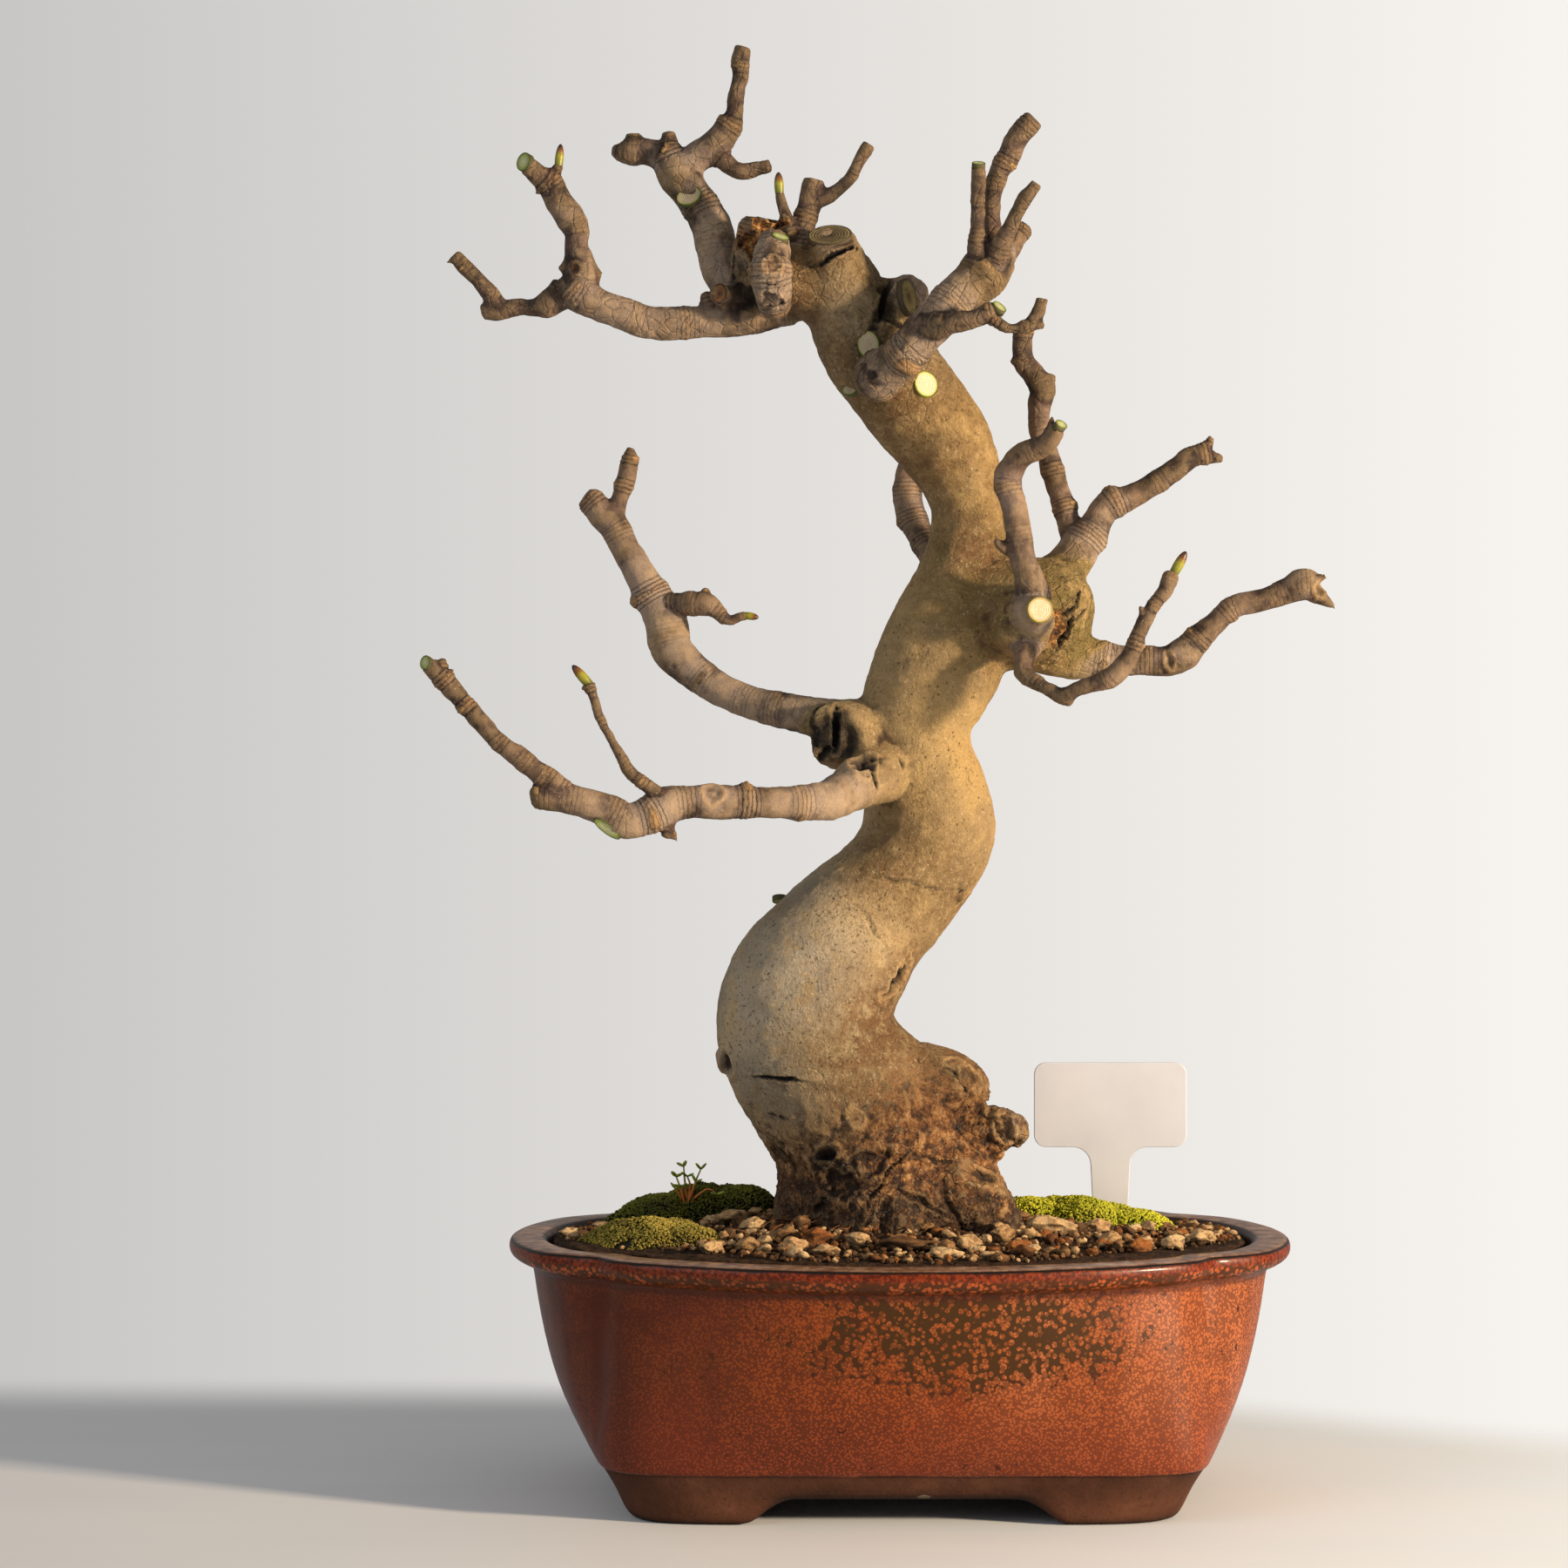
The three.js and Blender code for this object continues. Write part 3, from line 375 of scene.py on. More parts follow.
limbs = {
    "lowLeft": [
        [-1, -6, 287, 12.5], [-12, -22, 282, 10.5], [-20, -32, 278, 9], [-28, -40, 274, 8],
        [-35, -45, 273, 7], [-46, -50, 273, 6.2], [-59, -54, 273, 6], [-73, -58, 273, 6.8],
        [-82, -60, 273, 6.3], [-90, -62, 272, 7.3], [-98, -64, 268, 6.8], [-106, -66, 266, 7],
        [-113, -67, 270, 6.3], [-122, -69, 273, 5.8], [-132, -70, 275, 5.5], [-139, -71, 275, 4.8],
        [-142, -71, 275, 3],
    ],
    "lowLeftLong": [
        [-128, -70, 276, 4], [-134, -72, 281, 4.2], [-141, -74, 286, 4], [-147, -75, 291, 4.1],
        [-153, -76, 295, 3.6], [-160, -77, 303, 3.5], [-167, -78, 311, 3.5], [-173, -79, 318, 3.8],
        [-180, -81, 325, 3],
    ],
    "lowLeftThin": [
        [-90, -64, 273, 3.4], [-95, -66, 277, 3], [-99, -67, 280, 2.7], [-104, -68, 284, 2.6],
        [-108, -69, 291, 2.1], [-112, -70, 298, 1.9], [-116, -71, 306, 2.1], [-118, -72, 313, 2.1],
        [-120, -72, 318, 2.6],
    ],
    "midLeft": [
        [-15, 0, 303, 10.5], [-27, 2, 305, 9], [-39, 6, 308, 7.7], [-53, 12, 311, 6.8], [-65, 17, 315, 6.7],
        [-76, 21, 321, 7], [-86, 25, 329, 7.8], [-92, 28, 336, 8.7], [-93, 29, 343, 8.8],
        [-95, 30, 349, 8.5], [-99, 31, 356, 7.6], [-103, 31, 363, 6.9], [-107, 32, 370, 6.4],
        [-111, 32, 377, 6], [-115, 33, 385, 6], [-120, 33, 390, 5.9], [-124, 34, 395, 5.5],
        [-127, 34, 397, 4],
    ],
    "midLeftUp": [[-116, 33, 386, 4.3], [-114, 33, 392, 3.9], [-112, 33, 398, 3.5], [-110, 33, 405, 3.5],
                  [-109, 33, 411, 3.5], [-108, 33, 417, 1.8]],
    "midLeftInner": [[-94, 28, 351, 5], [-87, 24, 353, 4.8], [-82, 21, 353, 4.8], [-76, 19, 352, 4.6],
                     [-72, 18, 349, 3], [-69, 17, 346, 2.5], [-64, 16, 347, 2.2], [-61, 16, 348, 2]],
    "topLeft": [
        [-44, -12, 471, 9], [-54, -14, 466, 7.6], [-66, -16, 463, 6.9], [-78, -18, 462, 6.3],
        [-89, -20, 461, 6.7], [-99, -22, 461, 6.3], [-108, -24, 464, 6.5], [-117, -26, 467, 6.5],
        [-125, -27, 471, 6.8], [-130, -28, 475, 6.1],
    ],
    "topLeftUp": [
        [-127, -27, 471, 6.1], [-125, -27, 478, 6.5], [-126, -27, 485, 5.8], [-127, -27, 491, 4.7],
        [-127, -27, 496, 5.1], [-130, -27, 502, 5.8], [-134, -28, 508, 5.2], [-137, -29, 514, 4.9],
        [-141, -31, 517, 4.4], [-146, -33, 521, 3.9],
    ],
    "topLeftOut": [
        [-129, -27, 474, 5.8], [-134, -25, 471, 5.5], [-139, -24, 468, 5.1], [-144, -23, 467, 3.4],
        [-151, -22, 467, 3.2], [-156, -21, 466, 3.9], [-161, -20, 466, 4.5], [-165, -20, 465, 3.3],
    ],
    "topLeftTip": [[-158, -21, 467, 3.8], [-161, -22, 472, 3.8], [-165, -23, 477, 3.2],
                   [-169, -24, 481, 3.2], [-175, -26, 487, 2.7]],
    "apexLeft": [[-63, -8, 473, 7], [-70, -4, 481, 7], [-73, -2, 491, 7.5], [-74, 0, 500, 8.3],
                 [-78, 2, 509, 7.5], [-83, 3, 516, 7.6], [-88, 4, 524, 9], [-90, 4, 528, 8]],
    "apexUp": [
        [-87, 4, 524, 7], [-81, 3, 530, 6.3], [-74, 2, 534, 6.4], [-69, 1, 540, 5.7], [-66, 0, 545, 4],
        [-65, -1, 553, 3.4], [-63, -2, 562, 3.2], [-63, -2, 568, 3.6], [-62, -3, 573, 3.3],
    ],
    "apexOut": [[-73, 2, 532, 5], [-67, 0, 526, 3.6], [-63, -1, 524, 3.5], [-56, -2, 525, 2.9],
                [-51, -3, 526, 2.6]],
    "apexKnots": [[-88, 4, 526, 7.7], [-95, 5, 531, 6], [-101, 6, 533, 5.2], [-107, 7, 533, 5.6],
                  [-111, 8, 533, 3.8], [-115, 8, 534, 2.4]],
    "apexStub": [[-40, -18, 491, 5.8], [-38, -18, 500, 4.8], [-36, -18, 507, 4.5], [-35, -18, 512, 4.8],
                 [-34, -18, 518, 4.1]],
    "apexRight": [[-36, -18, 509, 3.4], [-29, -19, 511, 3.3], [-24, -20, 514, 2.8], [-19, -21, 519, 2.7],
                  [-16, -22, 525, 2.8], [-12, -23, 531, 2.9]],
    "upperRight": [
        [-10, -26, 440, 9], [-4, -36, 443, 8.8], [2, -43, 448, 8.3], [9, -46, 455, 8.2], [15, -47, 461, 8.1],
        [21, -45, 468, 8.4], [28, -43, 474, 9.4], [34, -41, 480, 9.4], [39, -40, 485, 7.4],
    ],
    "upperTall": [
        [37, -41, 482, 6.7], [36, -40, 489, 4.7], [35, -40, 497, 3.7], [35, -40, 505, 3.4],
        [36, -41, 512, 3.5], [38, -42, 518, 4], [42, -43, 525, 4.7], [44, -44, 529, 4.7],
        [47, -45, 533, 4.7], [51, -46, 537, 4.2],
    ],
    "upperCut": [[33, -44, 478, 5.1], [29, -47, 485, 4.2], [29, -48, 492, 3.5], [29, -49, 500, 3],
                 [29, -50, 508, 3], [29, -52, 517, 2.8]],
    "upperFork": [[36, -46, 481, 5], [38, -50, 488, 4], [41, -52, 494, 3.2], [44, -54, 500, 2.8],
                  [47, -56, 505, 3], [51, -58, 510, 2.3]],
    "upperPeg": [[37, -36, 482, 5.4], [42, -33, 489, 4.7], [46, -31, 495, 3.9], [48, -30, 498, 3.1]],
    "reach": [[10, -50, 456, 6], [16, -56, 456, 4.5], [22, -59, 457, 4], [28, -61, 458, 3.7],
              [32, -62, 460, 3.5], [35, -63, 461, 3]],
    "reachThin": [[32, -62, 459, 2.7], [36, -62, 456, 2.3], [39, -62, 454, 2.2], [43, -61, 454, 2],
                  [47, -60, 455, 2.7], [50, -60, 458, 2.8], [52, -60, 462, 2.8], [53, -60, 466, 2.7]],
    "rightLow": [
        [58, -2, 337, 14], [70, -2, 331, 10], [80, -2, 330, 7.6], [89, -3, 329, 6.2], [99, -4, 329, 5.9],
        [107, -5, 329, 6.2], [113, -6, 332, 6.6], [117, -6, 336, 5.4], [125, -8, 344, 4.5],
        [132, -9, 350, 4.8], [140, -10, 352, 4.5], [147, -11, 354, 4.5], [154, -12, 357, 5.5],
        [160, -13, 359, 6.5], [164, -13, 358, 4.8],
    ],
    "rightUpper": [
        [57, 2, 356, 14.5], [66, 3, 365, 9.7], [72, 4, 374, 8], [78, 5, 382, 6.6], [82, 5, 389, 5.9],
        [86, 5, 392, 6.1], [91, 5, 394, 5.2], [97, 5, 397, 4.7], [104, 5, 401, 4.7], [111, 5, 406, 4.5],
        [118, 5, 411, 4.5], [123, 5, 412, 4.2],
    ],
    "rightTall": [
        [72, 4, 372, 5.6], [69, 8, 382, 5.2], [66, 11, 393, 4.5], [63, 13, 403, 4.4], [60, 14, 414, 4.3],
        [57, 15, 424, 4.4], [57, 15, 433, 4.6], [58, 14, 439, 5.4], [55, 14, 444, 4.7], [51, 14, 449, 4.2],
        [50, 14, 454, 3.9], [50, 14, 464, 3.6],
    ],
    "frontUp": [
        [51, -26, 351, 6.8], [50, -34, 359, 5.8], [47, -36, 368, 5.2], [45, -37, 380, 5.1],
        [43, -36, 390, 5.1], [41, -35, 398, 5.3], [43, -36, 403, 5.1], [47, -40, 408, 4.6],
        [53, -43, 410, 4.4], [57, -46, 413, 3.9], [60, -48, 417, 3.4],
    ],
    "frontDown": [
        [50, -26, 336, 5.8], [47, -36, 328, 4.2], [47, -40, 323, 3.7], [52, -44, 319, 3],
        [57, -47, 316, 2.9], [61, -49, 314, 3], [68, -52, 317, 3], [75, -54, 319, 3.5], [81, -56, 322, 4],
        [86, -57, 328, 3.7], [89, -58, 335, 3.3], [92, -58, 342, 3.2], [96, -58, 349, 2.9],
        [100, -58, 354, 3.2], [102, -58, 359, 3.3], [103, -58, 361, 2.3],
    ],
    "backLeft": [
        [23, 12, 359, 5], [18, 26, 367, 5], [13, 34, 375, 5.3], [8, 40, 386, 5.7], [5, 43, 396, 6.1],
        [5, 44, 406, 5], [7, 44, 416, 4.3], [11, 43, 426, 3.9], [13, 42, 433, 3.2],
    ],
}
pegs = {
    "lowLeftNub": [[-174, -80, 321, 2.3], [-175, -80, 327, 1.5]],
    "lowLeftDead": [[-90, -62, 267, 3], [-91, -62, 259, 1.9]],
    "lowLeftSpur": [[-89, -62, 263, 1.7], [-86, -62, 257, 0.5]],
    "midLeftPeg": [[-78, 20, 354, 2.1], [-77, 20, 359, 1.3]],
    "topLeftWart": [[-128, -27, 480, 4.4], [-132, -27, 484, 3.1]],
    "topLeftSpike": [[-121, -27, 476, 3.1], [-117, -27, 481, 1]],
    "topLeftKnob": [[-139, -24, 468, 4.1], [-138, -24, 463, 2.7]],
    "topLeftThorn": [[-174, -26, 486, 1.4], [-179, -27, 483, 0.4]],
    "topLeftTop": [[-75, -16, 466, 4.8], [-77, -16, 474, 2.1]],
    "apexKnotA": [[-91, 5, 531, 4.5], [-92, 5, 541, 3]],
    "apexKnotB": [[-106, 7, 532, 5], [-106, 7, 540, 3.2]],
    "apexKnotC": [[-107, 7, 532, 4.5], [-108, 7, 528, 3.1]],
    "upperSpike": [[15, -46, 464, 2], [14, -47, 473, 0.7]],
    "reachPeg": [[49, -60, 456, 2.3], [54, -60, 455, 1.3]],
    "rightLowPeg": [[161, -13, 360, 3.1], [168, -15, 362, 1.2]],
    "rightLowHook": [[162, -13, 356, 3.8], [167, -14, 353, 2.7], [172, -15, 349, 0.7]],
    "rightLowKnee": [[113, -6, 331, 4.5], [116, -7, 326, 2.4]],
    "rightUpperPeg": [[121, 5, 413, 2.8], [124, 5, 416, 2.1], [125, 5, 419, 1.4]],
    "rightUpperFinger": [[121, 5, 411, 3.1], [130, 5, 410, 1.8]],
    "rightTallPeg": [[58, 14, 440, 3.5], [61, 13, 442, 2.5], [62, 13, 445, 1.4]],
    "rightTallSpur": [[50, 14, 448, 2.1], [45, 13, 450, 0.9]],
    "frontUpPeg": [[56, -45, 413, 2.4], [58, -46, 422, 1.3]],
    "frontUpSpur": [[43, -36, 371, 2.4], [39, -37, 372, 2.4], [36, -38, 375, 1.5]],
    "frontDownKnob": [[61, -49, 313, 2.7], [65, -51, 311, 1.5]],
    "frontDownNub": [[92, -59, 344, 2], [90, -61, 348, 1]],
}
buds = {
    "lowLeftBud": [[-119, -72, 317, 1.7], [-122, -72, 321, 2.5], [-126, -73, 325, 0.4]],
    "midLeftBud": [[-62, 16, 348, 2], [-56, 15, 347, 0.4]],
    "topLeftBud": [[-134, -29, 520, 2.2], [-132, -29, 525, 2.2], [-133, -29, 530, 0.4]],
    "apexBud": [[-47.6, -23, 511, 2.1], [-48, -23, 515, 2.4], [-48, -23, 520, 0.4]],
    "frontDownBud": [[103, -58, 360, 2.2], [105, -58, 364, 2.6], [108, -59, 369, 0.4]],
}
budTwigs = {
    "topLeftTwig": [[-137, -29, 515, 2.9], [-135, -29, 519, 2.3], [-133.5, -29, 522, 1.9]],
    "apexTwig": [[-42, -20, 493, 3.6], [-46, -23, 505, 2.5], [-47.6, -23, 512, 2.0]],
}
barkLook = {
    "voxel": 1.0,  # mm between corners before the mesh is thinned
    "triangles": 196000,
    "fluteDepth": 0.03,  # share of the trunk's radius
    "nodeSpacing": (10.0, 24.0),  # mm between the knuckles of thin limbs
    "nodeSwell": 0.2,  # share of the limb's radius
    "lump": 0.7,
    "grit": 0.3,
    "wrinkle": 1.0,  # mm, on the rough foot of the trunk
}


# Wounds, knots and cracks of the bark: photo pixel, half sizes in mm, turn in degrees, depth and rim in mm,
# how dark they are (dark bark, and painted shade in their slits and holes), how pale or rotten, and how
# ragged their edge is
plainMark = {"turn": 0, "rim": 0, "dark": 0, "pale": 0, "rot": 0, "ragged": 0.3}
barkMarks = {
    "leftSlit": {"pixel": (893, 1239), "size": (11, 0.9), "turn": 3, "depth": 2.2, "rim": 0.7, "dark": 1},
    "leftSlitLow": {"pixel": (892, 1281), "size": (4.5, 0.6), "depth": 1.0, "rim": 0.4, "dark": 0.8},
    "leftEarScar": {"pixel": (834, 1222), "size": (3, 5), "turn": 8, "depth": 1.6, "rim": 1.0, "dark": 0.4},
    "baseKnot": {"pixel": (983, 1286), "size": (2.6, 2.6), "depth": -0.8, "rim": 1.0, "pale": 0.7},
    "baseKnotHole": {"pixel": (983, 1286), "size": (0.9, 0.9), "depth": 1.0, "dark": 0.9},
    "baseDot": {"pixel": (1038, 1255), "size": (1.6, 1.6), "depth": -0.9, "dark": 0.25},
    "baseHole": {"pixel": (948, 1325), "size": (5.0, 2.4), "turn": -8, "depth": 5, "rim": 0.9, "dark": 0.9},
    "baseHollow": {"pixel": (962, 1362), "size": (13, 6), "turn": 30, "depth": 2.2, "rim": 0.5, "dark": 0.25,
                   "ragged": 1.6},
    "baseGap": {"pixel": (945, 1386), "size": (6, 3), "turn": 20, "depth": 2.0, "rim": 0.3, "dark": 0.5,
                "ragged": 1.6},
    "baseFold": {"pixel": (1026, 1340), "size": (9, 0.7), "turn": 44, "depth": 2.0, "rim": 0.7, "dark": 0.5},
    "baseFoldLeft": {"pixel": (1004, 1372), "size": (7, 0.8), "turn": 66, "depth": 1.8, "rim": 0.5,
                     "dark": 0.5},
    "rootFold": {"pixel": (1070, 1330), "size": (12, 1.0), "turn": -16, "depth": 1.4, "rim": 0.8,
                 "dark": 0.2},
    "rootFoldLow": {"pixel": (1060, 1380), "size": (14, 1.2), "turn": -24, "depth": 1.8, "rim": 0.8,
                    "dark": 0.4},
    "leftFold": {"pixel": (905, 1330), "size": (9, 0.9), "turn": -30, "depth": 1.6, "rim": 0.6, "dark": 0.5},
    "rightScar": {"pixel": (1126, 1352), "size": (8, 3.2), "turn": -12, "depth": 1.0, "rim": 1.2,
                  "pale": 0.5},
    "rightScarHole": {"pixel": (1130, 1351), "size": (5.2, 1.8), "turn": -12, "depth": 0.9, "dark": 0.6},
    "rightLip": {"pixel": (1156, 1297), "size": (3.4, 7), "turn": 24, "depth": 1.8, "rim": 1.4, "pale": 0.5,
                 "ragged": 0.8},
    "rightLipSlit": {"pixel": (1150, 1300), "size": (0.8, 7), "turn": 26, "depth": 2.2, "dark": 1},
    "topLip": {"pixel": (1112, 1238), "size": (6.5, 3.6), "turn": -42, "depth": 1.4, "rim": 1.6, "pale": 0.5,
               "ragged": 0.9},
    "topLipSlit": {"pixel": (1100, 1240), "size": (7, 0.9), "turn": -48, "depth": 2, "dark": 0.9},
    "baseScratch": {"pixel": (1101, 1300), "size": (4.5, 0.5), "turn": -52, "depth": 0.8, "rim": 0.2,
                    "dark": 0.9},
    "wound": {"pixel": (1030, 1124), "size": (7.5, 2.8), "turn": 38, "depth": 2.4, "rim": 1.1, "pale": 0.4,
              "dark": 0.3, "ragged": 0.9},
    "woundSlit": {"pixel": (1031, 1121), "size": (6, 1.0), "turn": 38, "depth": 1.6, "dark": 1},
    "bumpHigh": {"pixel": (1104, 1019), "size": (1.7, 1.7), "depth": -1.5, "dark": 0.35},
    "bumpLow": {"pixel": (1100, 1031), "size": (2.0, 2.0), "depth": -1.6, "dark": 0.5},
    "creaseHigh": {"pixel": (1045, 1013), "size": (22, 1.2), "turn": -12, "depth": 0.6, "rim": 0.5,
                   "dark": 0.1},
    "creaseLow": {"pixel": (1000, 1060), "size": (16, 1.2), "turn": -50, "depth": 0.5, "rim": 0.4,
                  "dark": 0.08},
    "collar": {"pixel": (950, 842), "size": (10, 12), "turn": -8, "depth": 3.2, "rim": 0.9, "dark": 0.75,
               "ragged": 0.5},
    "collarLeft": {"pixel": (932, 832), "size": (1.9, 8), "turn": -24, "depth": 5, "rim": 1.0, "dark": 1},
    "collarRight": {"pixel": (957, 838), "size": (2.0, 8.5), "turn": -4, "depth": 5, "rim": 1.0, "dark": 1},
    "collarLow": {"pixel": (946, 866), "size": (1.5, 5), "turn": -30, "depth": 2.5, "rim": 0.8, "dark": 0.8},
    "knobHole": {"pixel": (991, 878), "size": (5.2, 5.0), "depth": 3.4, "rim": 1.8, "dark": 0.8,
                 "ragged": 0.8},
    "knobCleft": {"pixel": (1003, 896), "size": (1.2, 4), "turn": 35, "depth": 2.4, "rim": 0.4, "dark": 0.9},
    "knobTwin": {"pixel": (1017, 876), "size": (2.6, 2.6), "depth": -1.8, "dark": 0.15},
    "knobTwinShade": {"pixel": (1009, 877), "size": (1.0, 3), "depth": 1.2, "dark": 0.6},
    "knobScar": {"pixel": (1035, 876), "size": (1.2, 2.6), "turn": 20, "depth": 0.8, "rim": 0.5,
                 "dark": 0.5},
    "burlCrack": {"pixel": (1224, 725), "size": (1.5, 10), "turn": -24, "depth": 3.0, "rim": 1.3,
                  "dark": 0.75, "ragged": 0.9},
    "burlCrackTop": {"pixel": (1232, 694), "size": (1.0, 7), "turn": -52, "depth": 1.8, "rim": 0.6,
                     "dark": 0.6, "ragged": 0.6},
    "burlCrackSide": {"pixel": (1240, 705), "size": (5, 0.7), "turn": 30, "depth": 1.2, "rim": 0.5,
                      "dark": 0.5},
    "burlRot": {"pixel": (1210, 724), "size": (3.6, 6.5), "turn": -30, "depth": 1.2, "rim": 0.5, "rot": 0.9,
                "ragged": 0.9},
    "swirlOuter": {"pixel": (1150, 733), "size": (9, 8.5), "depth": -1.4, "rim": -0.9, "dark": 0.15},
    "swirlInner": {"pixel": (1153, 733), "size": (5, 5), "depth": -1.2, "rim": -0.8, "dark": 0.25},
    "stumpShade": {"pixel": (1012, 356), "size": (4.5, 8), "turn": -18, "depth": 2.6, "rim": 0.3,
                   "dark": 0.7, "ragged": 0.9},
    "topCrack": {"pixel": (962, 291), "size": (9, 1.0), "turn": 22, "depth": 2.4, "rim": 0.9, "dark": 1},
    "stumpFold": {"pixel": (1015, 345), "size": (1.4, 9), "turn": -8, "depth": 3, "rim": 0.8, "dark": 0.9},
    "stumpFoldLow": {"pixel": (1030, 372), "size": (8, 1.4), "turn": -20, "depth": 3, "rim": 0.4,
                     "dark": 0.8},
    "frontEye": {"pixel": (1006, 428), "size": (2.6, 2.2), "depth": 0.8, "rim": 0.9, "dark": 0.45,
                 "ragged": 1.0},
    "frontEyeRing": {"pixel": (1006, 428), "size": (6.5, 5.5), "depth": -1.0, "rim": -0.8, "dark": 0.2},
    "noseScar": {"pixel": (885, 305), "size": (2.8, 2.6), "depth": 0.7, "rim": 1.0, "pale": 0.4, "rot": 0.25,
                 "ragged": 0.8},
    "noseLow": {"pixel": (888, 345), "size": (4.2, 3.4), "depth": 0.8, "rim": 0.9, "dark": 0.35,
                "ragged": 1.3},
    "noseFold": {"pixel": (884, 326), "size": (5, 0.7), "turn": -6, "depth": 0.7, "rim": 0.5, "dark": 0.4},
    "apexRotHigh": {"pixel": (880, 257), "size": (4.8, 3.2), "turn": 15, "depth": 3.2, "rim": 1.2, "rot": 1,
                    "ragged": 1.1},
    "apexRotLow": {"pixel": (860, 281), "size": (4.4, 5.4), "turn": 30, "depth": 4.2, "rim": 1.2, "rot": 1,
                   "ragged": 1.1},
    "apexCleft": {"pixel": (842, 300), "size": (1.6, 8), "depth": 4.5, "rim": 0.4, "dark": 1},
    "apexDark": {"pixel": (858, 340), "size": (6, 5), "depth": 2.0, "rim": 0.2, "dark": 0.6, "ragged": 1.0},
    "midRing": {"pixel": (818, 909), "size": (3.4, 3.6), "depth": 0.9, "rim": 1.0, "pale": 0.3},
    "midRingEye": {"pixel": (817, 910), "size": (1.3, 1.3), "depth": -0.9, "dark": 0.2},
    "leftRing": {"pixel": (660, 308), "size": (1.9, 1.9), "depth": 0.8, "rim": 0.6, "rot": 0.6},
    "tipRing": {"pixel": (1515, 678), "size": (2.0, 2.4), "turn": 20, "depth": 0.7, "rim": 0.7, "pale": 0.6},
    "elbowRing": {"pixel": (1343, 760), "size": (1.6, 3.2), "turn": 6, "depth": 0.6, "rim": 0.7,
                  "pale": 0.6},
}
# Stains: place, reach in mm, and how much olive and brown they bring
barkStains = [
    ((-7, -22, 181), 24, 0.25, 1.0), ((8, -16, 202), 17, 0.1, 0.8), ((-20, -28, 168), 22, 0.3, 0.7),
    ((22, -14, 160), 24, 0.0, 1.0), ((0, -32, 148), 26, 0.1, 0.9), ((-44, -18, 172), 10, 0.2, 0.5),
    ((12, -4, 408), 14, 0.1, 0.8), ((-2, -14, 432), 18, 0.3, 0.8), ((30, -8, 372), 13, 0.0, 0.8),
    ((34, -10, 344), 15, 0.2, 0.7), ((-16, -16, 470), 14, 0.2, 0.4), ((-44, -22, 470), 16, 0.1, 0.7),
    ((34, -14, 346), 24, 0.55, 0.2), ((68, -8, 349), 27, 1.0, 0.0), ((50, 0, 365), 22, 0.8, 0.0),
    ((-9, -16, 180), 20, 0.5, 0.35), ((-30, -26, 172), 17, 0.6, 0.3), ((-2, -10, 240), 22, 0.3, 0.6),
    ((8, -14, 252), 16, 0.2, 0.5), ((-14, -14, 292), 12, 0.1, 0.4), ((-18, -14, 262), 14, 0.1, 0.55),
    ((-2, -24, 462), 20, 0.5, 0.3), ((-6, -24, 450), 18, 0.6, 0.2), ((10, -8, 425), 16, 0.2, 0.5),
    ((-20, -18, 450), 16, 0.2, 0.5), ((-2, -20, 470), 12, 0.8, 0.1), ((16, -6, 372), 12, 0.5, 0.2),
    ((0, -20, 204), 14, 0.1, 0.6), ((4, -16, 190), 16, 0.1, 0.6), ((36, -14, 156), 16, 0.2, 0.6),
    ((26, -6, 236), 14, 0.0, 0.5), ((22, -4, 224), 14, 0.0, 0.4), ((-40, -6, 300), 14, 0.7, 0.3),
    ((-38, -24, 270), 14, 0.0, 0.35), ((40, -18, 330), 14, 0.1, 0.5), ((48, -8, 326), 16, 0.4, 0.5),
]
# Weathered grey bark, and dark rotten bark with painted shade on the shaded left of the foot: place and reach
# in mm
bleachedBark = [(-17, -20, 463, 16), (-50, -30, 206, 34), (-52, -28, 168, 22), (-42, -20, 244, 20),
                (2, -14, 446, 10)]
murkyAndShadedBark = [(-26, -36, 128, 13), (-38, -34, 118, 12), (-14, -40, 116, 12), (6, -42, 112, 10),
             (40, -30, 112, 12), (-52, -26, 116, 14), (-58, -20, 484, 9), (-52, -14, 470, 9),
             (40, -36, 348, 8), (-12, -26, 452, 8)]
# Rough bark round old cuts: x, z, reach in x and in z, and how rough
oldBark = [(-6, 458, 34, 26, 0.55), (-52, 482, 16, 20, 0.5), (62, 349, 22, 22, 0.6), (-32, 290, 14, 18, 0.4)]


def everyLimb():  # the family and the route of each limb of the tree
    families = {"trunk": {"trunk": trunk}, "roots": roots, "burls": burls, "limbs": limbs, "pegs": pegs,
                "twigs": budTwigs}
    for family, members in families.items():
        for route in members.values():
            yield family, route


def limbShell(name, route):
    curve = bpy.data.curves.new(name, "CURVE")
    curve.dimensions = "3D"
    curve.bevel_depth = 1.0
    curve.bevel_resolution = 12
    curve.resolution_u = 8
    curve.use_fill_caps = True
    spline = curve.splines.new("BEZIER")
    spline.radius_interpolation = "CARDINAL"
    spline.bezier_points.add(len(route) - 1)
    for point, (x, y, z, radius) in zip(spline.bezier_points, route):
        point.co = place(x, y, z)
        point.radius = radius * mm
        point.handle_left_type = "AUTO"
        point.handle_right_type = "AUTO"
    return bake(newObject(name, curve))


# A sample is a point in the middle of a limb: x, y, z, radius, mm from the limb's start, the limb's number,
# 1 on the trunk and the roots or 0, and the limb's direction
column = {"radius": 3, "along": 4, "limb": 5, "thick": 6}


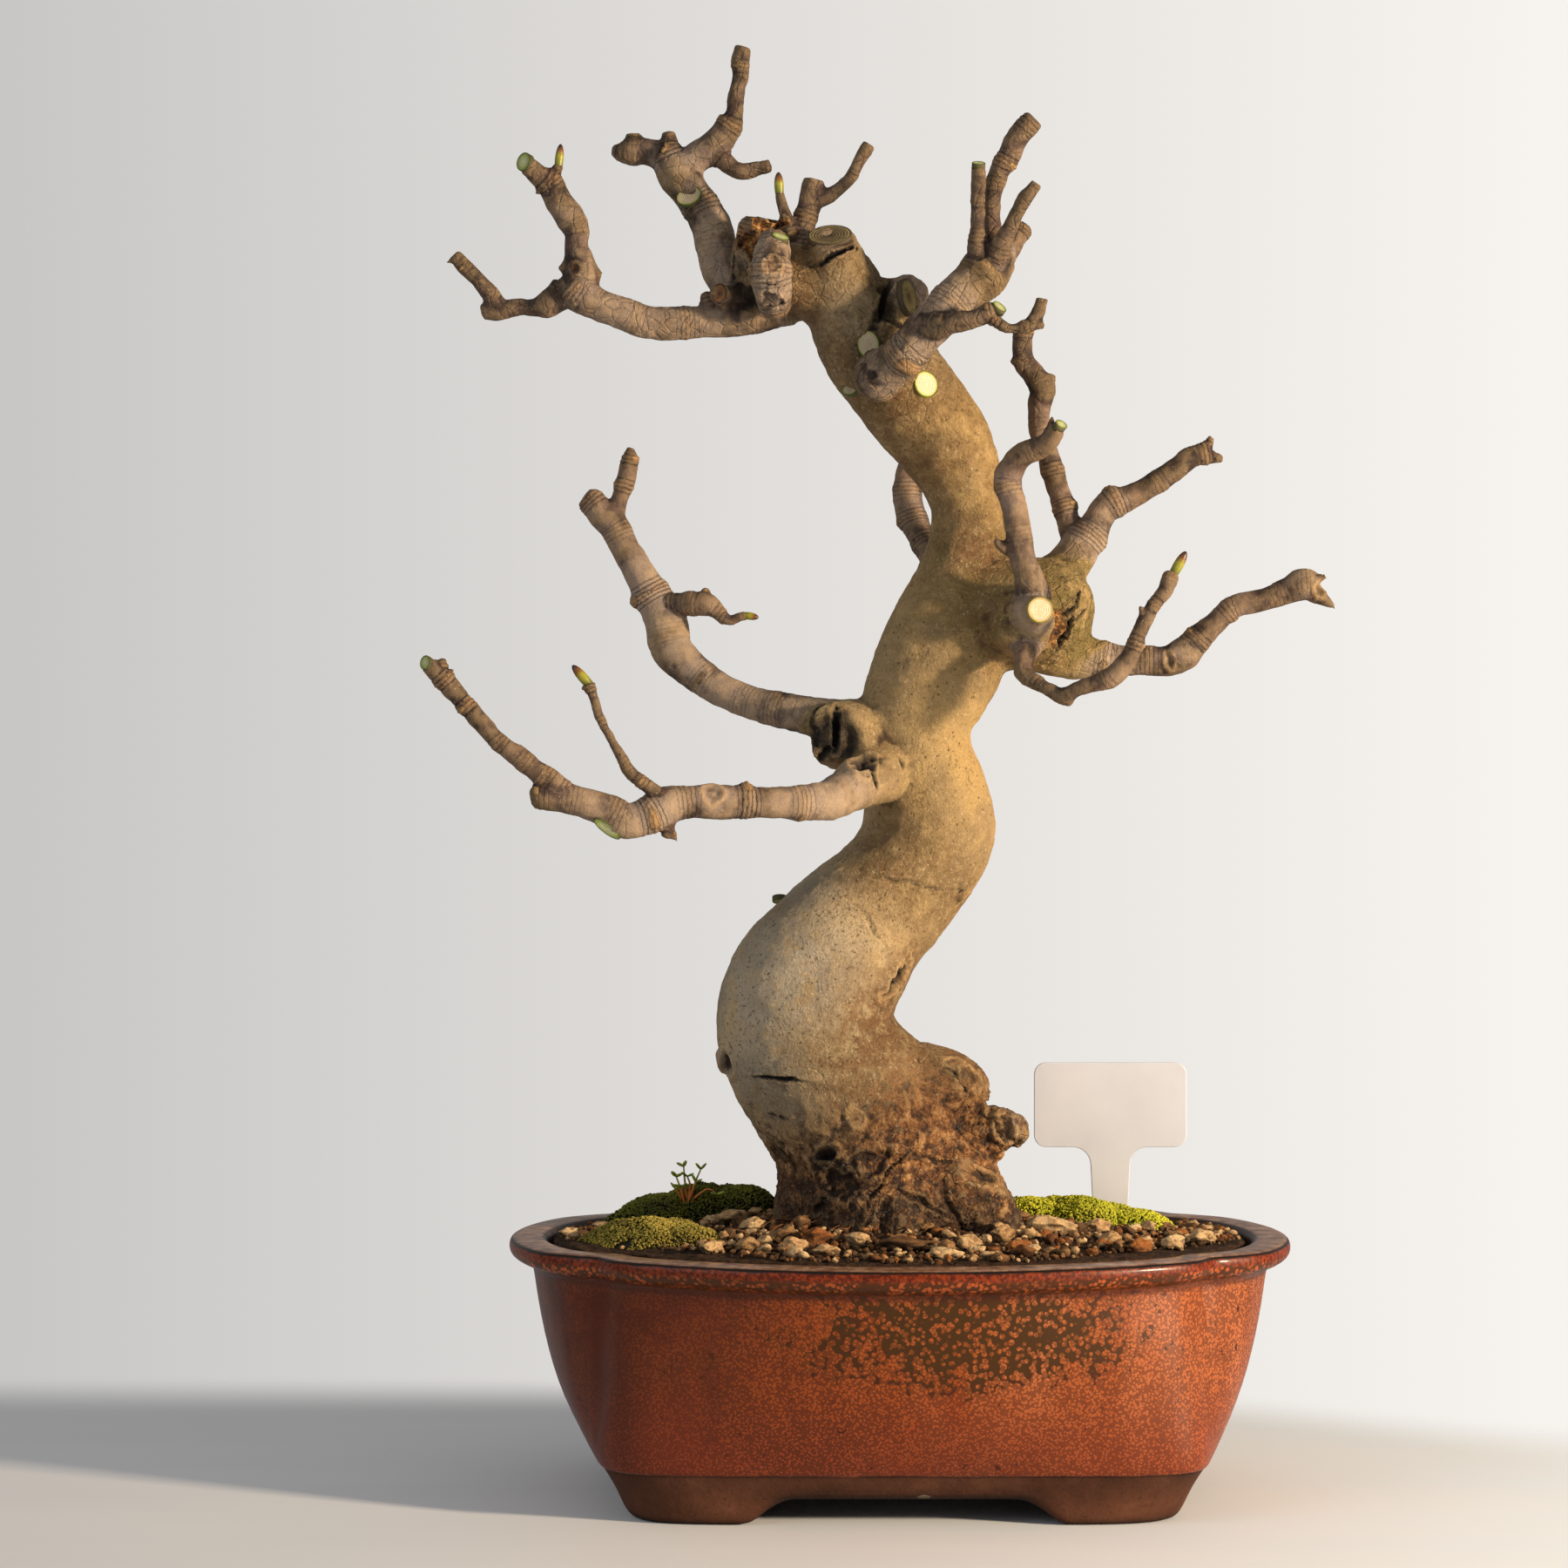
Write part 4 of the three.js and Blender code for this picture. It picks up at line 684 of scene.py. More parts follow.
def limbSamples():  # samples along all limbs, and where each limb's knuckles are
    rows, knuckles = [], []
    draw = random.Random(4)
    low, high = barkLook["nodeSpacing"]
    for number, (family, route) in enumerate(everyLimb()):
        points = np.array(route, float)
        steps = np.linalg.norm(np.diff(points[:, :3], axis=0), axis=1)
        along = np.concatenate([[0], np.cumsum(steps)])
        at = np.linspace(0, along[-1], max(3, int(along[-1] / 2)))
        nodes = [draw.uniform(1, 5)]
        while nodes[-1] < along[-1] + high:
            wide = np.interp(nodes[-1], along, points[:, 3])
            nodes.append(nodes[-1] + draw.uniform(low, high) * (0.6 + 0.08 * wide))
        knuckles.append(np.array([-high, *nodes]))
        body = [np.interp(at, along, points[:, part]) for part in range(4)]
        ahead = np.gradient(np.column_stack(body[:3]), axis=0)
        ahead /= np.linalg.norm(ahead, axis=1)[:, None]
        thick = 1.0 if family in ("trunk", "roots") else 0.0
        count = len(at)
        rows.append(np.column_stack([*body, at, np.full(count, number), np.full(count, thick), ahead]))
    table = np.concatenate(rows).astype(np.float32)
    table[:, :3] = table[:, :3] * mm + np.array(potShift, np.float32)
    return table, knuckles


def limbPlace(points, sample, knuckles):  # for each corner: knuckle number, mm from it, angle from its scar
    offset = (points - sample[:, :3]) / mm
    ahead = sample[:, 7:10]
    along = sample[:, column["along"]] + (offset * ahead).sum(1)
    side = np.cross(ahead, [0.13, 0.21, 0.97])
    side /= np.linalg.norm(side, axis=1)[:, None]
    other = np.cross(ahead, side)
    angle = np.arctan2((offset * other).sum(1), (offset * side).sum(1))
    phase = np.zeros(len(points))
    away = np.zeros(len(points))
    for number, nodes in enumerate(knuckles):
        mine = np.flatnonzero(sample[:, column["limb"]] == number)
        phase[mine] = np.interp(along[mine], nodes, range(len(nodes)))
        away[mine] = along[mine] - nodes[np.round(phase[mine]).astype(int)]
    scarAngle = np.round(phase) * 2.4 + sample[:, column["limb"]] * 1.7
    turned = np.abs((angle - scarAngle + math.pi) % (2 * math.pi) - math.pi)
    return phase, away, turned


def knuckleStrength(phase, sample):  # how strong each knuckle is, from 0 to 1
    return np.modf(np.abs(np.sin(np.round(phase) * 12.9 + sample[:, column["limb"]] * 4.1)) * 43.7)[0] ** 1.4


def nearestSample(points, table, block=4000):  # the limb whose skin a point lies on
    best = np.empty(len(points), np.int32)
    centres, radii = table[:, :3], table[:, column["radius"]] * mm
    squared = (centres ** 2).sum(1)
    for start in range(0, len(points), block):
        some = points[start:start + block]
        distance = (some ** 2).sum(1)[:, None] + squared - 2 * some @ centres.T
        best[start:start + block] = np.argmin(np.sqrt(np.maximum(distance, 0)) - radii, axis=1)
    return best


def throughPixel(pixel):  # the camera's ray through a pixel of the photo
    eye = place(*photo["eye"])
    spread = photo["sensor"] / photo["lens"] / photo["side"]
    across = (pixel[0] - photo["middle"]) * spread
    up = (photo["middle"] - pixel[1]) * spread
    return eye, Vector((across, 1, up)).normalized()


def seenAt(skin, pixel):
    eye, ray = throughPixel(pixel)
    spot, normal, _, _ = skin.ray_cast(eye, ray)
    if spot is None:  # just beside the bark: the nearest bark is taken
        print("beside the bark", pixel)
        spot, normal, _, _ = skin.find_nearest(eye + ray * photo["away"])
    return spot, normal


def flatten(normal, turn):  # two directions that lie in the skin, the first to the right of the photo
    right = (Vector((1, 0, 0)) - normal * normal.x).normalized()
    up = normal.cross(right) * (1 if normal.cross(right).z > 0 else -1)
    angle = math.radians(turn)
    return right * math.cos(angle) + up * math.sin(angle), up * math.cos(angle) - right * math.sin(angle)


def findMarks(skin):
    found = []
    for mark in barkMarks.values():
        mark = {**plainMark, **mark}
        spot, normal = seenAt(skin, mark["pixel"])
        found.append((mark, spot, normal, *flatten(normal, mark["turn"])))
    return found


def markField(points, mark, spot, normal, across, up):  # 0 in the middle of a mark, 1 at its edge, and on
    offset = points - np.array(spot)
    wide, tall = mark["size"]
    a = offset @ np.array(across) / (wide * mm)
    b = offset @ np.array(up) / (tall * mm)
    depth = np.abs(offset @ np.array(normal))
    distance = np.hypot(a, b)
    distance[depth > (max(wide, tall) + 6) * mm] = 9
    narrow = min(wide, tall)
    step = 1 / (max(1.2, narrow * 0.9) * mm)
    bend = 1.6 if max(wide, tall) > 3 * narrow else 0.5
    for i in np.flatnonzero(distance < 3):  # bent and ragged edges
        raggedness = noise.fractal(Vector(points[i]) * step * 0.5, 0.8, 2.0, 3)
        wave = noise.noise_vector(Vector(points[i]) / (7 * mm))
        bentA = a[i] + wave.x * bend / wide
        bentB = b[i] + wave.y * bend / tall
        distance[i] = max(0, math.hypot(bentA, bentB) + raggedness * mark["ragged"])
    return distance


def barkRelief(points, sample, phase, away, turned):  # how far each corner of the bark stands out, in mm
    x, y, z = ((points - np.array(potShift)) / mm).T
    radius = sample[:, column["radius"]]
    offset = points - sample[:, :3]
    angle = np.arctan2(offset[:, 1], offset[:, 0])
    low = np.clip((156 - z) / 60, 0, 1)
    flutes = (0.06 + low) * np.sin(5 * angle + z / 28) + 0.5 * np.sin(3 * angle - z / 19 + 1)
    move = flutes * radius * barkLook["fluteDepth"] * sample[:, column["thick"]]

    thin = 1 - smoothStep(radius, 7.5, 12.5)
    strength = knuckleStrength(phase, sample)
    lump = (0.45 + 0.9 * np.clip(np.cos(turned), 0, 1)) * (0.1 + strength)
    wide = 1.0 + 0.26 * radius
    swell = np.exp(-(away / wide) ** 2) * lump
    scar = np.exp(-(away / (0.22 * radius + 0.5)) ** 2 - (turned / 0.5) ** 2) * strength
    ridges = np.cos(away * 2 * math.pi / 1.9) * np.exp(-(away / 4.2) ** 2) * (0.2 + strength)
    move += thin * (radius * (barkLook["nodeSwell"] * swell + 0.09 * scar) + 0.17 * ridges)

    # wrinkles, cracks and lumps of the old foot, rising to the right, and of the bark round old cuts
    rough = smoothStep(176 + 10 * np.clip(x / 30, -1.5, 1) - z, 0, 26)
    for atX, atZ, reachX, reachZ, share in oldBark:
        rough = np.maximum(rough, share * np.exp(-((x - atX) / reachX) ** 2 - ((z - atZ) / reachZ) ** 2))
    arc = angle * 36
    for i in np.flatnonzero(rough > 0.02):
        here = Vector((x[i], y[i], z[i]))
        along, across = arc[i] * 0.8 + z[i] * 0.6, z[i] * 0.8 - arc[i] * 0.6
        bend = 4 * noise.noise(here / 17)
        fold = noise.noise(Vector((along / 30, (across + bend) / 8.5, 3)))
        crack = noise.noise(Vector((along / 16, (across + bend) / 5, y[i] / 18)))
        crumb = noise.fractal(here / 5.5, 0.7, 2.1, 4)
        rare = max(0, min(1, 0.35 + 2.2 * noise.noise(here / 15)))
        relief = 0.8 * fold - 0.6 * rare * math.exp(-(crack / 0.06) ** 2) + 0.9 * crumb
        move[i] += relief * rough[i] * barkLook["wrinkle"]
    return move


def treeShell(table):  # all limbs fused into one skin, with the nearest sample of each corner
    bm = bmesh.new()
    for family, route in everyLimb():
        pourInto(bm, limbShell(family, route))
    tree = fromBmesh("tree_bark", bm)
    modify(tree, "REMESH", mode="VOXEL", voxel_size=barkLook["voxel"] * mm)
    tree = bake(tree)
    nearest = nearestSample(corners(tree.data), table)
    thick = neighbourAverage(tree.data, smoothStep(table[nearest, column["radius"]], 6, 14), 6)
    setGroup(tree, "thick", thick)
    modify(tree, "SMOOTH", factor=0.5, iterations=3)
    modify(tree, "SMOOTH", factor=0.6, iterations=44, vertex_group="thick")
    roughen(tree, "lumps", 0.016, 3, barkLook["lump"] * 2)
    roughen(tree, "grit", 0.004, 3, barkLook["grit"] * 2)
    tree = bake(tree)
    tree.vertex_groups.clear()
    print("tree shell", len(tree.data.polygons))
    return tree, table[nearest]


def makeTree():
    table, knuckles = limbSamples()
    tree, sample = treeShell(table)
    points = corners(tree.data).astype(np.float64)
    normals = cornerNormals(tree.data).astype(np.float64)
    move = barkRelief(points, sample, *limbPlace(points, sample, knuckles))
    points += normals * move[:, None] * mm
    setCorners(tree.data, points)
    bm = bmesh.new()
    bm.from_mesh(tree.data)
    skin = BVHTree.FromBMesh(bm)
    bm.free()
    marks = findMarks(skin)
    before = points.copy()
    for mark, spot, normal, across, up in marks:
        distance = markField(before, mark, spot, normal, across, up)
        near = distance < 3
        hole = 1 - smoothStep(distance[near], 0.35, 1.05)
        rim = np.exp(-((distance[near] - 1.35) / 0.3) ** 2)
        push = (mark["rim"] * rim - mark["depth"] * hole) * mm
        points[near] += push[:, None] * np.array(normal)
    setCorners(tree.data, points)

    full = KDTree(len(points))
    for index, point in enumerate(points):
        full.insert(point, index)
    full.balance()
    triangles = sum(len(face.vertices) - 2 for face in tree.data.polygons)
    modify(tree, "DECIMATE", ratio=min(1, barkLook["triangles"] / triangles))
    tree = bake(tree)
    kept = corners(tree.data).astype(np.float64)
    sample = sample[[full.find(point)[1] for point in kept]]
    paintTree(tree, sample, limbPlace(kept, sample, knuckles), marks)
    setSmooth(tree.data)
    settle(tree, barkPaint(), "bark", "tree")
    return skin


def softSpot(points, x, y, z, reach):  # 1 at a place, fading over its reach
    distance = np.linalg.norm(points - np.array(place(x, y, z)), axis=1) / (reach * mm)
    return np.exp(-distance ** 2)


def paintTree(tree, sample, spots, marks):
    mesh = tree.data
    points = corners(mesh)
    phase, away, turned = spots
    radius = sample[:, column["radius"]].astype(float)
    strength = knuckleStrength(phase, sample)
    thin = 1 - smoothStep(radius, 8, 12)
    scar = np.exp(-(away / (0.24 * radius + 0.5)) ** 4 - (turned / 0.62) ** 4) * thin
    setAttribute(mesh, "girth", neighbourAverage(mesh, radius, 4))
    setAttribute(mesh, "away", np.clip(np.abs(away), 0, 9))
    setAttribute(mesh, "limb", np.modf(sample[:, column["limb"]] * 0.618 + np.floor(phase + 0.5) * 0.37)[0])
    setAttribute(mesh, "scar", scar * (0.35 + 0.65 * strength))
    setAttribute(mesh, "knuckle", strength)
    names = ("dark", "pale", "rot", "olive", "brown", "bleach", "murk")
    masks = {name: np.zeros(len(points)) for name in names}

    def strengthen(name, values):
        masks[name] = np.maximum(masks[name], values)

    for mark, spot, normal, across, up in marks:
        distance = markField(points, mark, spot, normal, across, up)
        inside = 1 - smoothStep(distance, 0.7, 1.3)
        rim = np.exp(-((distance - 1.25) / 0.35) ** 2) + 0.3 * inside
        strengthen("dark", mark["dark"] * inside)
        strengthen("rot", mark["rot"] * inside)
        strengthen("pale", mark["pale"] * np.clip(rim, 0, 1))
    for spot, reach, olive, brown in barkStains:
        soft = softSpot(points, *spot, reach)
        strengthen("olive", olive * soft)
        strengthen("brown", brown * soft)
    for name, patches in (("bleach", bleachedBark), ("murk", murkyAndShadedBark)):
        for patch in patches:
            strengthen(name, softSpot(points, *patch))
    for name, values in masks.items():
        setAttribute(mesh, name, values)
    normals = cornerNormals(mesh)
    # how far each corner lies sunk in the skin, for painted shade in hollows and a painted highlight on
    # ridges
    for name, rounds in (("hollow", 7), ("deep", 36)):
        smooth = [neighbourAverage(mesh, points[:, i].astype(float), rounds) for i in range(3)]
        setAttribute(mesh, name, ((np.column_stack(smooth) - points) * normals).sum(1) / mm)


def barkPaint():
    paint = Paint("fig bark")
    girth = paint.attribute("girth")
    limb = paint.attribute("limb")
    x, z = paint.axis("X"), paint.axis("Z")
    broad = paint.noise(30, 3)
    medium = paint.noise(110, 4, 0.6)
    rust = paint.noise(190, 6, 0.72)
    fine = paint.noise(700, 4, 0.65)
    grain = paint.noise(1600, 3, 0.7)

    trunkColour = paint.ramp(broad, [(0.35, "87714f"), (0.5, "a28a62"), (0.65, "b89f74")])
    # ochre on the right side of the trunk: the bark's own ochre, and painted warm light on the side the lamp
    # lights
    ochreAndLitSide = z.rise(0.17, 0.3) * x.rise(-0.03, 0.03) * broad.rise(0.28, 0.6)
    trunkColour = paint.mix(ochreAndLitSide * 0.7, trunkColour, "b08f52")
    bleach = (paint.attribute("bleach") * 1.4 * medium.rise(0.25, 0.55)).clamped()
    # weathered grey bark, painted paler above 0.43 m as painted light on the lit top
    ashenAndLitTop = paint.mix(z.rise(0.42, 0.44), paint.ramp(broad, [(0.35, "8b8172"), (0.6, "a69c8a")]), "bbb29f")
    trunkColour = paint.mix(bleach * 0.85, trunkColour, ashenAndLitTop)
    # the upper trunk darker brown: darker bark, and painted shade cast by the limbs above
    high = z.rise(0.32, 0.4) * medium.rise(0.28, 0.58)
    trunkColour = paint.mix(high * 0.7, trunkColour, "775c35")
    olive = (paint.attribute("olive") * 1.5 * medium.rise(0.25, 0.62)).clamped()
    trunkColour = paint.mix(olive * 0.85, trunkColour, "6b5e2c")
    stain = (paint.attribute("brown") * 1.7 * rust.rise(0.32, 0.6)).clamped()
    trunkColour = paint.mix(stain * 0.9, trunkColour, "6a4a2a")

    # the dark, rusty foot, darkest where it meets the soil
    footColour = paint.ramp(rust, [(0.36, "180c05"), (0.43, "462914"), (0.5, "7a4d27"), (0.57, "a27141"),
                                   (0.65, "caa069")])
    line = z - x.rise(-0.035, 0.02) * 0.026 + (rust - 0.5) * 0.06
    trunkColour = paint.mix(line.fall(0.122, 0.158), trunkColour, footColour)
    # dark rotten bark mottled near black, partly painted shade on the left of the foot
    murk = (paint.attribute("murk") * 1.6 * rust.fall(0.46, 0.6)).clamped()
    trunkColour = paint.mix(murk * 0.9, trunkColour, paint.mix(fine.rise(0.45, 0.6), "150a05", "3d2413"))
    soiled = (z + (medium - 0.5) * 0.035).fall(0.104, 0.13)
    trunkColour = paint.mix(soiled * 0.85, trunkColour, paint.mix(fine.rise(0.4, 0.6), "1d110a", "4a301c"))

    # thin limbs: rings beside their knuckles, and pale leaf scars
    shade = medium * 0.5 + broad * 0.5 + (limb - 0.5) * 0.16
    twigColour = paint.ramp(shade, [(0.36, "31231c"), (0.47, "4b392f"), (0.56, "644f43"), (0.68, "806b5d")])
    twigColour = paint.mix(girth.fall(2.2, 4.2) * 0.7, twigColour, "2f211b")
    twigColour = paint.mix(girth.rise(4.6, 7.6) * shade.rise(0.36, 0.56) * 0.85, twigColour, "9c8978")
    streaks = paint.noise(1.0, 4, 0.7, 0, paint.stretched(520, 520, 90))
    twigColour = paint.mix(streaks.rise(0.56, 0.68) * 0.25, twigColour, "806a58")
    away = paint.attribute("away") + (fine - 0.5) * 1.6
    knuckle = paint.attribute("knuckle") * 0.8 + 0.2
    rings = (((away * 0.56).fract() - 0.5).size()).fall(0.06, 0.2)
    lines = rings * (away - girth * 0.4).fall(0.8, 3.2) * knuckle
    twigColour = paint.mix(lines * 0.75, twigColour, "1d110b")
    twigColour = paint.mix(away.fall(0.8, 2.6) * medium.rise(0.4, 0.6) * knuckle * 0.5, twigColour, "7c5738")
    scar = paint.attribute("scar") + (fine - 0.5) * 0.35
    twigColour = paint.mix(scar.rise(0.22, 0.36) * 0.7, twigColour, "2c1c13")
    twigColour = paint.mix(scar.rise(0.45, 0.62) * 0.75, twigColour, "9c764c")
    skin = paint.mix(girth.rise(7.5, 11.5), twigColour, trunkColour)

    # speckles and dots
    onTrunk = girth.rise(8, 12)
    speckle = paint.noise(650, 5, 0.75)
    patches = (broad + (medium - 0.5) * 1.2).rise(0.42, 0.62)
    skin = paint.mix(speckle.fall(0.38, 0.46) * onTrunk * (0.2 + patches * 0.6), skin, "5a4022")
    skin = paint.mix(speckle.rise(0.56, 0.64) * onTrunk * (0.45 - patches * 0.3), skin, "cdb994")
    skin = paint.mix(paint.dots(330, 0.12, 0.2, 0.5, 0.6) * onTrunk * 0.8, skin, "4b341c")
    lenticels = paint.dots(560, 0.12, 0.2, 0.45, 0.6) * girth.fall(6, 10)
    skin = paint.mix(lenticels * 0.6, skin, "a58c70")
    skin = paint.mix(grain.rise(0.35, 0.7) * 0.3, skin, "6a5844", "MULTIPLY")

    # painted shade in hollows and deep creases, a painted highlight on ridges, and wounds
    hollow = paint.attribute("hollow")
    skin = paint.mix(hollow.rise(0.08, 0.6) * 0.85, skin, "2f1e11")
    skin = paint.mix(paint.attribute("deep").rise(0.5, 2.6) * 0.6, skin, "3c2815")
    skin = paint.mix(hollow.fall(-0.5, -0.1) * 0.2, skin, "c4a475")
    skin = paint.mix(paint.attribute("pale") * (0.5 + 0.5 * medium), skin, "b89668")
    rotColour = paint.ramp(paint.noise(420, 5, 0.7), [(0.38, "1c1008"), (0.47, "5c3516"), (0.55, "94602c"),
                                                      (0.64, "d0a05c")])
    skin = paint.mix(paint.attribute("rot") * rust.rise(0.3, 0.5), skin, rotColour)
    # dark bark, and painted shade inside the slits, cracks and holes of the marks
    skin = paint.mix((paint.attribute("dark") * 1.1 * (0.55 + rust)).clamped(), skin, "140d08")

    rough = (paint.attribute("olive") + line.fall(0.112, 0.15) + z.rise(0.4, 0.46) * 0.6).clamped()
    wrinkle = paint.noise(240, 5, 0.7, 1.0)
    crack = paint.cells(170, "DISTANCE_TO_EDGE").rise(0.0, 0.09)
    pimples = paint.dots(430, 0.0, 0.3, 0.4, 0.6)
    bumps = [(wrinkle * (0.35 + rough), 1.4), (fine * (0.35 + onTrunk * 0.65), 0.7),
             (lines * girth.fall(7.5, 11) * -1.0, 0.6), (crack * rough, 0.55), (pimples * onTrunk, 0.35),
             (grain * (0.4 + onTrunk * 0.6), 0.3)]
    return paint.finish(skin, 0.6 + fine * 0.25, bumps, Specular_IOR_Level=0.35)


# Pale sawn faces and old cuts: photo pixel or limb end, half sizes in mm, the way the face looks, its turn in
# degrees, its look and how far it stands out in mm
plainCut = {"turn": 0, "lift": 0.35}
freshCuts = {
    "upperA": {"pixel": (998, 397), "size": (4.4, 5.8), "faces": (-0.25, -1, 0.15), "turn": 10,
               "look": "grey", "lift": 2.0},
    "upperB": {"pixel": (1063, 441), "size": (4.9, 5.3), "faces": (0.35, -1, 0.1), "turn": 20,
               "look": "bright"},
    "upperC": {"pixel": (977, 448), "size": (3.4, 2.3), "faces": (-0.5, -1, 0.3), "look": "grey",
               "lift": 1.2},
    "burlFace": {"pixel": (1194, 700), "size": (5.0, 5.0), "faces": (0.2, -1, 0.05), "look": "pink"},
    "apexLeftCut": {"pixel": (791, 225), "size": (5.2, 3.9), "faces": (-0.2, -1, 0.35), "turn": 20,
                    "look": "grey"},
    "noseCut": {"pixel": (896, 272), "size": (3.4, 2.2), "faces": (0.2, -0.7, 0.7), "turn": -12,
                "look": "green"},
    "lowLeftEnd": {"at": (-180.6, -82.5, 325.6), "size": (2.3, 2.9), "faces": (-0.45, -0.85, 0.3),
                   "look": "green"},
    "topLeftEnd": {"at": (-147, -34.6, 522), "size": (3.5, 3.9), "faces": (-0.6, -0.75, 0.25), "turn": 8,
                   "look": "green"},
    "frontUpEnd": {"at": (60.9, -49, 418.4), "size": (2.4, 3.3), "faces": (0.55, -0.5, 0.65), "turn": -40,
                   "look": "green"},
    "upperCutEnd": {"at": (29, -52.3, 518.4), "size": (2.6, 2.2), "faces": (0.05, -0.45, 0.9),
                    "look": "green"},
    "reachEnd": {"at": (36.3, -64, 461.8), "size": (3.0, 2.4), "faces": (0.5, -0.6, 0.65), "turn": -30,
                 "look": "green"},
    "stumpOld": {"pixel": (826, 337), "size": (2.9, 3.9), "faces": (-0.35, -1, 0.1), "look": "rot"},
    "topLeftUnder": {"pixel": (716, 391), "size": (4.4, 2.2), "faces": (-0.3, -0.8, -0.55), "turn": -38,
                     "look": "bright"},
    "lowLeftUnder": {"pixel": (697, 951), "size": (6.4, 2.4), "faces": (-0.2, -0.75, -0.6), "turn": -40,
                     "look": "green"},
    "lowLeftUnderSmall": {"pixel": (805, 940), "size": (3.0, 1.6), "faces": (0, -0.7, -0.7),
                          "look": "green"},
    "oldTop": {"pixel": (953, 270), "size": (8.6, 6.0), "faces": (-0.1, -0.72, 0.69), "turn": -3,
               "look": "old"},
    "oldStumpFace": {"pixel": (1042, 341), "size": (4.6, 7.4), "faces": (0.75, -0.68, 0.2), "turn": 12,
                     "look": "olive", "lift": 0.8},
}
cutLooks = {  # from the middle of the cut out to the bark
    "bright": [(0.0, "f3dcae"), (0.55, "f6e4bd"), (0.82, "f1dca8"), (0.9, "b9b83a"), (0.97, "6d7420")],
    "pink": [(0.0, "c9906a"), (0.15, "f0c9a4"), (0.75, "f3d3ad"), (0.88, "dba379"), (0.97, "93a02a")],
    "grey": [(0.0, "a8967c"), (0.5, "b9ab8e"), (0.8, "b2a885"), (0.9, "8e9440"), (0.97, "3f4a1a")],
    "green": [(0.0, "cfcfa6"), (0.45, "c3c88f"), (0.75, "9fae5a"), (0.9, "7c8d34"), (0.97, "46401f")],
    "rot": [(0.0, "3b2212"), (0.4, "7a4c22"), (0.75, "8a5a2c"), (0.9, "4e331e"), (0.97, "32231a")],
    "olive": [(0.0, "4b3c20"), (0.35, "83703f"), (0.7, "9a8650"), (0.9, "75633a"), (0.98, "45371f")],
    "old": [(0.0, "2b1f11"), (0.35, "5c4c30"), (0.7, "675637"), (0.9, "807045"), (0.98, "45371f")],
}


def cutDisc(bm, layer, dish):  # a flat disc of radius 1 in rings, dished in its middle, on a short round plug
    ring = bmesh.ops.create_circle(bm, segments=28, radius=1.0, cap_ends=True)["verts"]
    face = ring[0].link_faces[0]
    everything = list(ring)
    for corner in ring:
        corner[layer] = 1.0
    for share in (0.93, 0.8, 0.6, 0.35, 0.12):
        bmesh.ops.inset_individual(bm, faces=[face], thickness=0.001)
        for corner in face.verts:
            corner.co = corner.co.normalized() * share
            corner[layer] = share
            everything.append(corner)
    for corner in everything:
        corner.co.z -= dish * (1 - corner[layer])
    outer = [edge for edge in edgesOf(ring) if edge.is_boundary]
    plug = onlyVerts(bmesh.ops.extrude_edge_only(bm, edges=outer)["geom"])
    for corner in plug:
        corner[layer] = 1.0
        corner.co = corner.co.normalized() * 1.02
        corner.co.z = -1
    bmesh.ops.contextual_create(bm, geom=[edge for edge in edgesOf(plug) if edge.is_boundary])
    return everything + plug


def makeCuts(skin):
    shells = {look: bmesh.new() for look in cutLooks}
    layers = {look: bm.verts.layers.float.new("radial") for look, bm in shells.items()}
    for cut in freshCuts.values():
        cut = {**plainCut, **cut}
        look = cut["look"]
        spot = place(*cut["at"]) if "at" in cut else seenAt(skin, cut["pixel"])[0]
        facing = Vector(cut["faces"]).normalized()
        across, up = flatten(facing, cut["turn"])
        wide, tall = [half * mm for half in cut["size"]]
        turned = Matrix((across * wide, up * tall, facing * 2.6 * mm)).transposed().to_4x4()
        turned.translation = spot + facing * cut["lift"] * mm
        for corner in cutDisc(shells[look], layers[look], 0.12 if look in ("old", "olive") else 0.03):
            corner.co = turned @ corner.co
    for look, bm in shells.items():
        bmesh.ops.recalc_face_normals(bm, faces=bm.faces)
        settle(fromBmesh("cut_" + look, bm), cutPaint(look), "bark", "tree")


def cutPaint(look):
    paint = Paint("cut " + look)
    fibre = paint.noise(260, 4, 0.6)
    radial = paint.attribute("radial")
    wood = paint.ramp((radial + (fibre - 0.5) * 0.12).clamped(), cutLooks[look])
    rings = (radial * 46 + fibre * 3).wave()
    wood = paint.mix(rings.rise(0.2, 1.0) * 0.22, wood, "a08058", "MULTIPLY")
    if look in ("old", "rot", "olive"):
        wood = paint.mix(paint.noise(500, 5, 0.7).rise(0.5, 0.65) * 0.7, wood, "2f271b")
        wood = paint.mix(radial.fall(0.08, 0.16), wood, "120d09")
    rough = 0.45 if look in ("bright", "pink") else 0.7
    return paint.finish(wood, rough, [(fibre, 0.5), (rings, 0.12)])


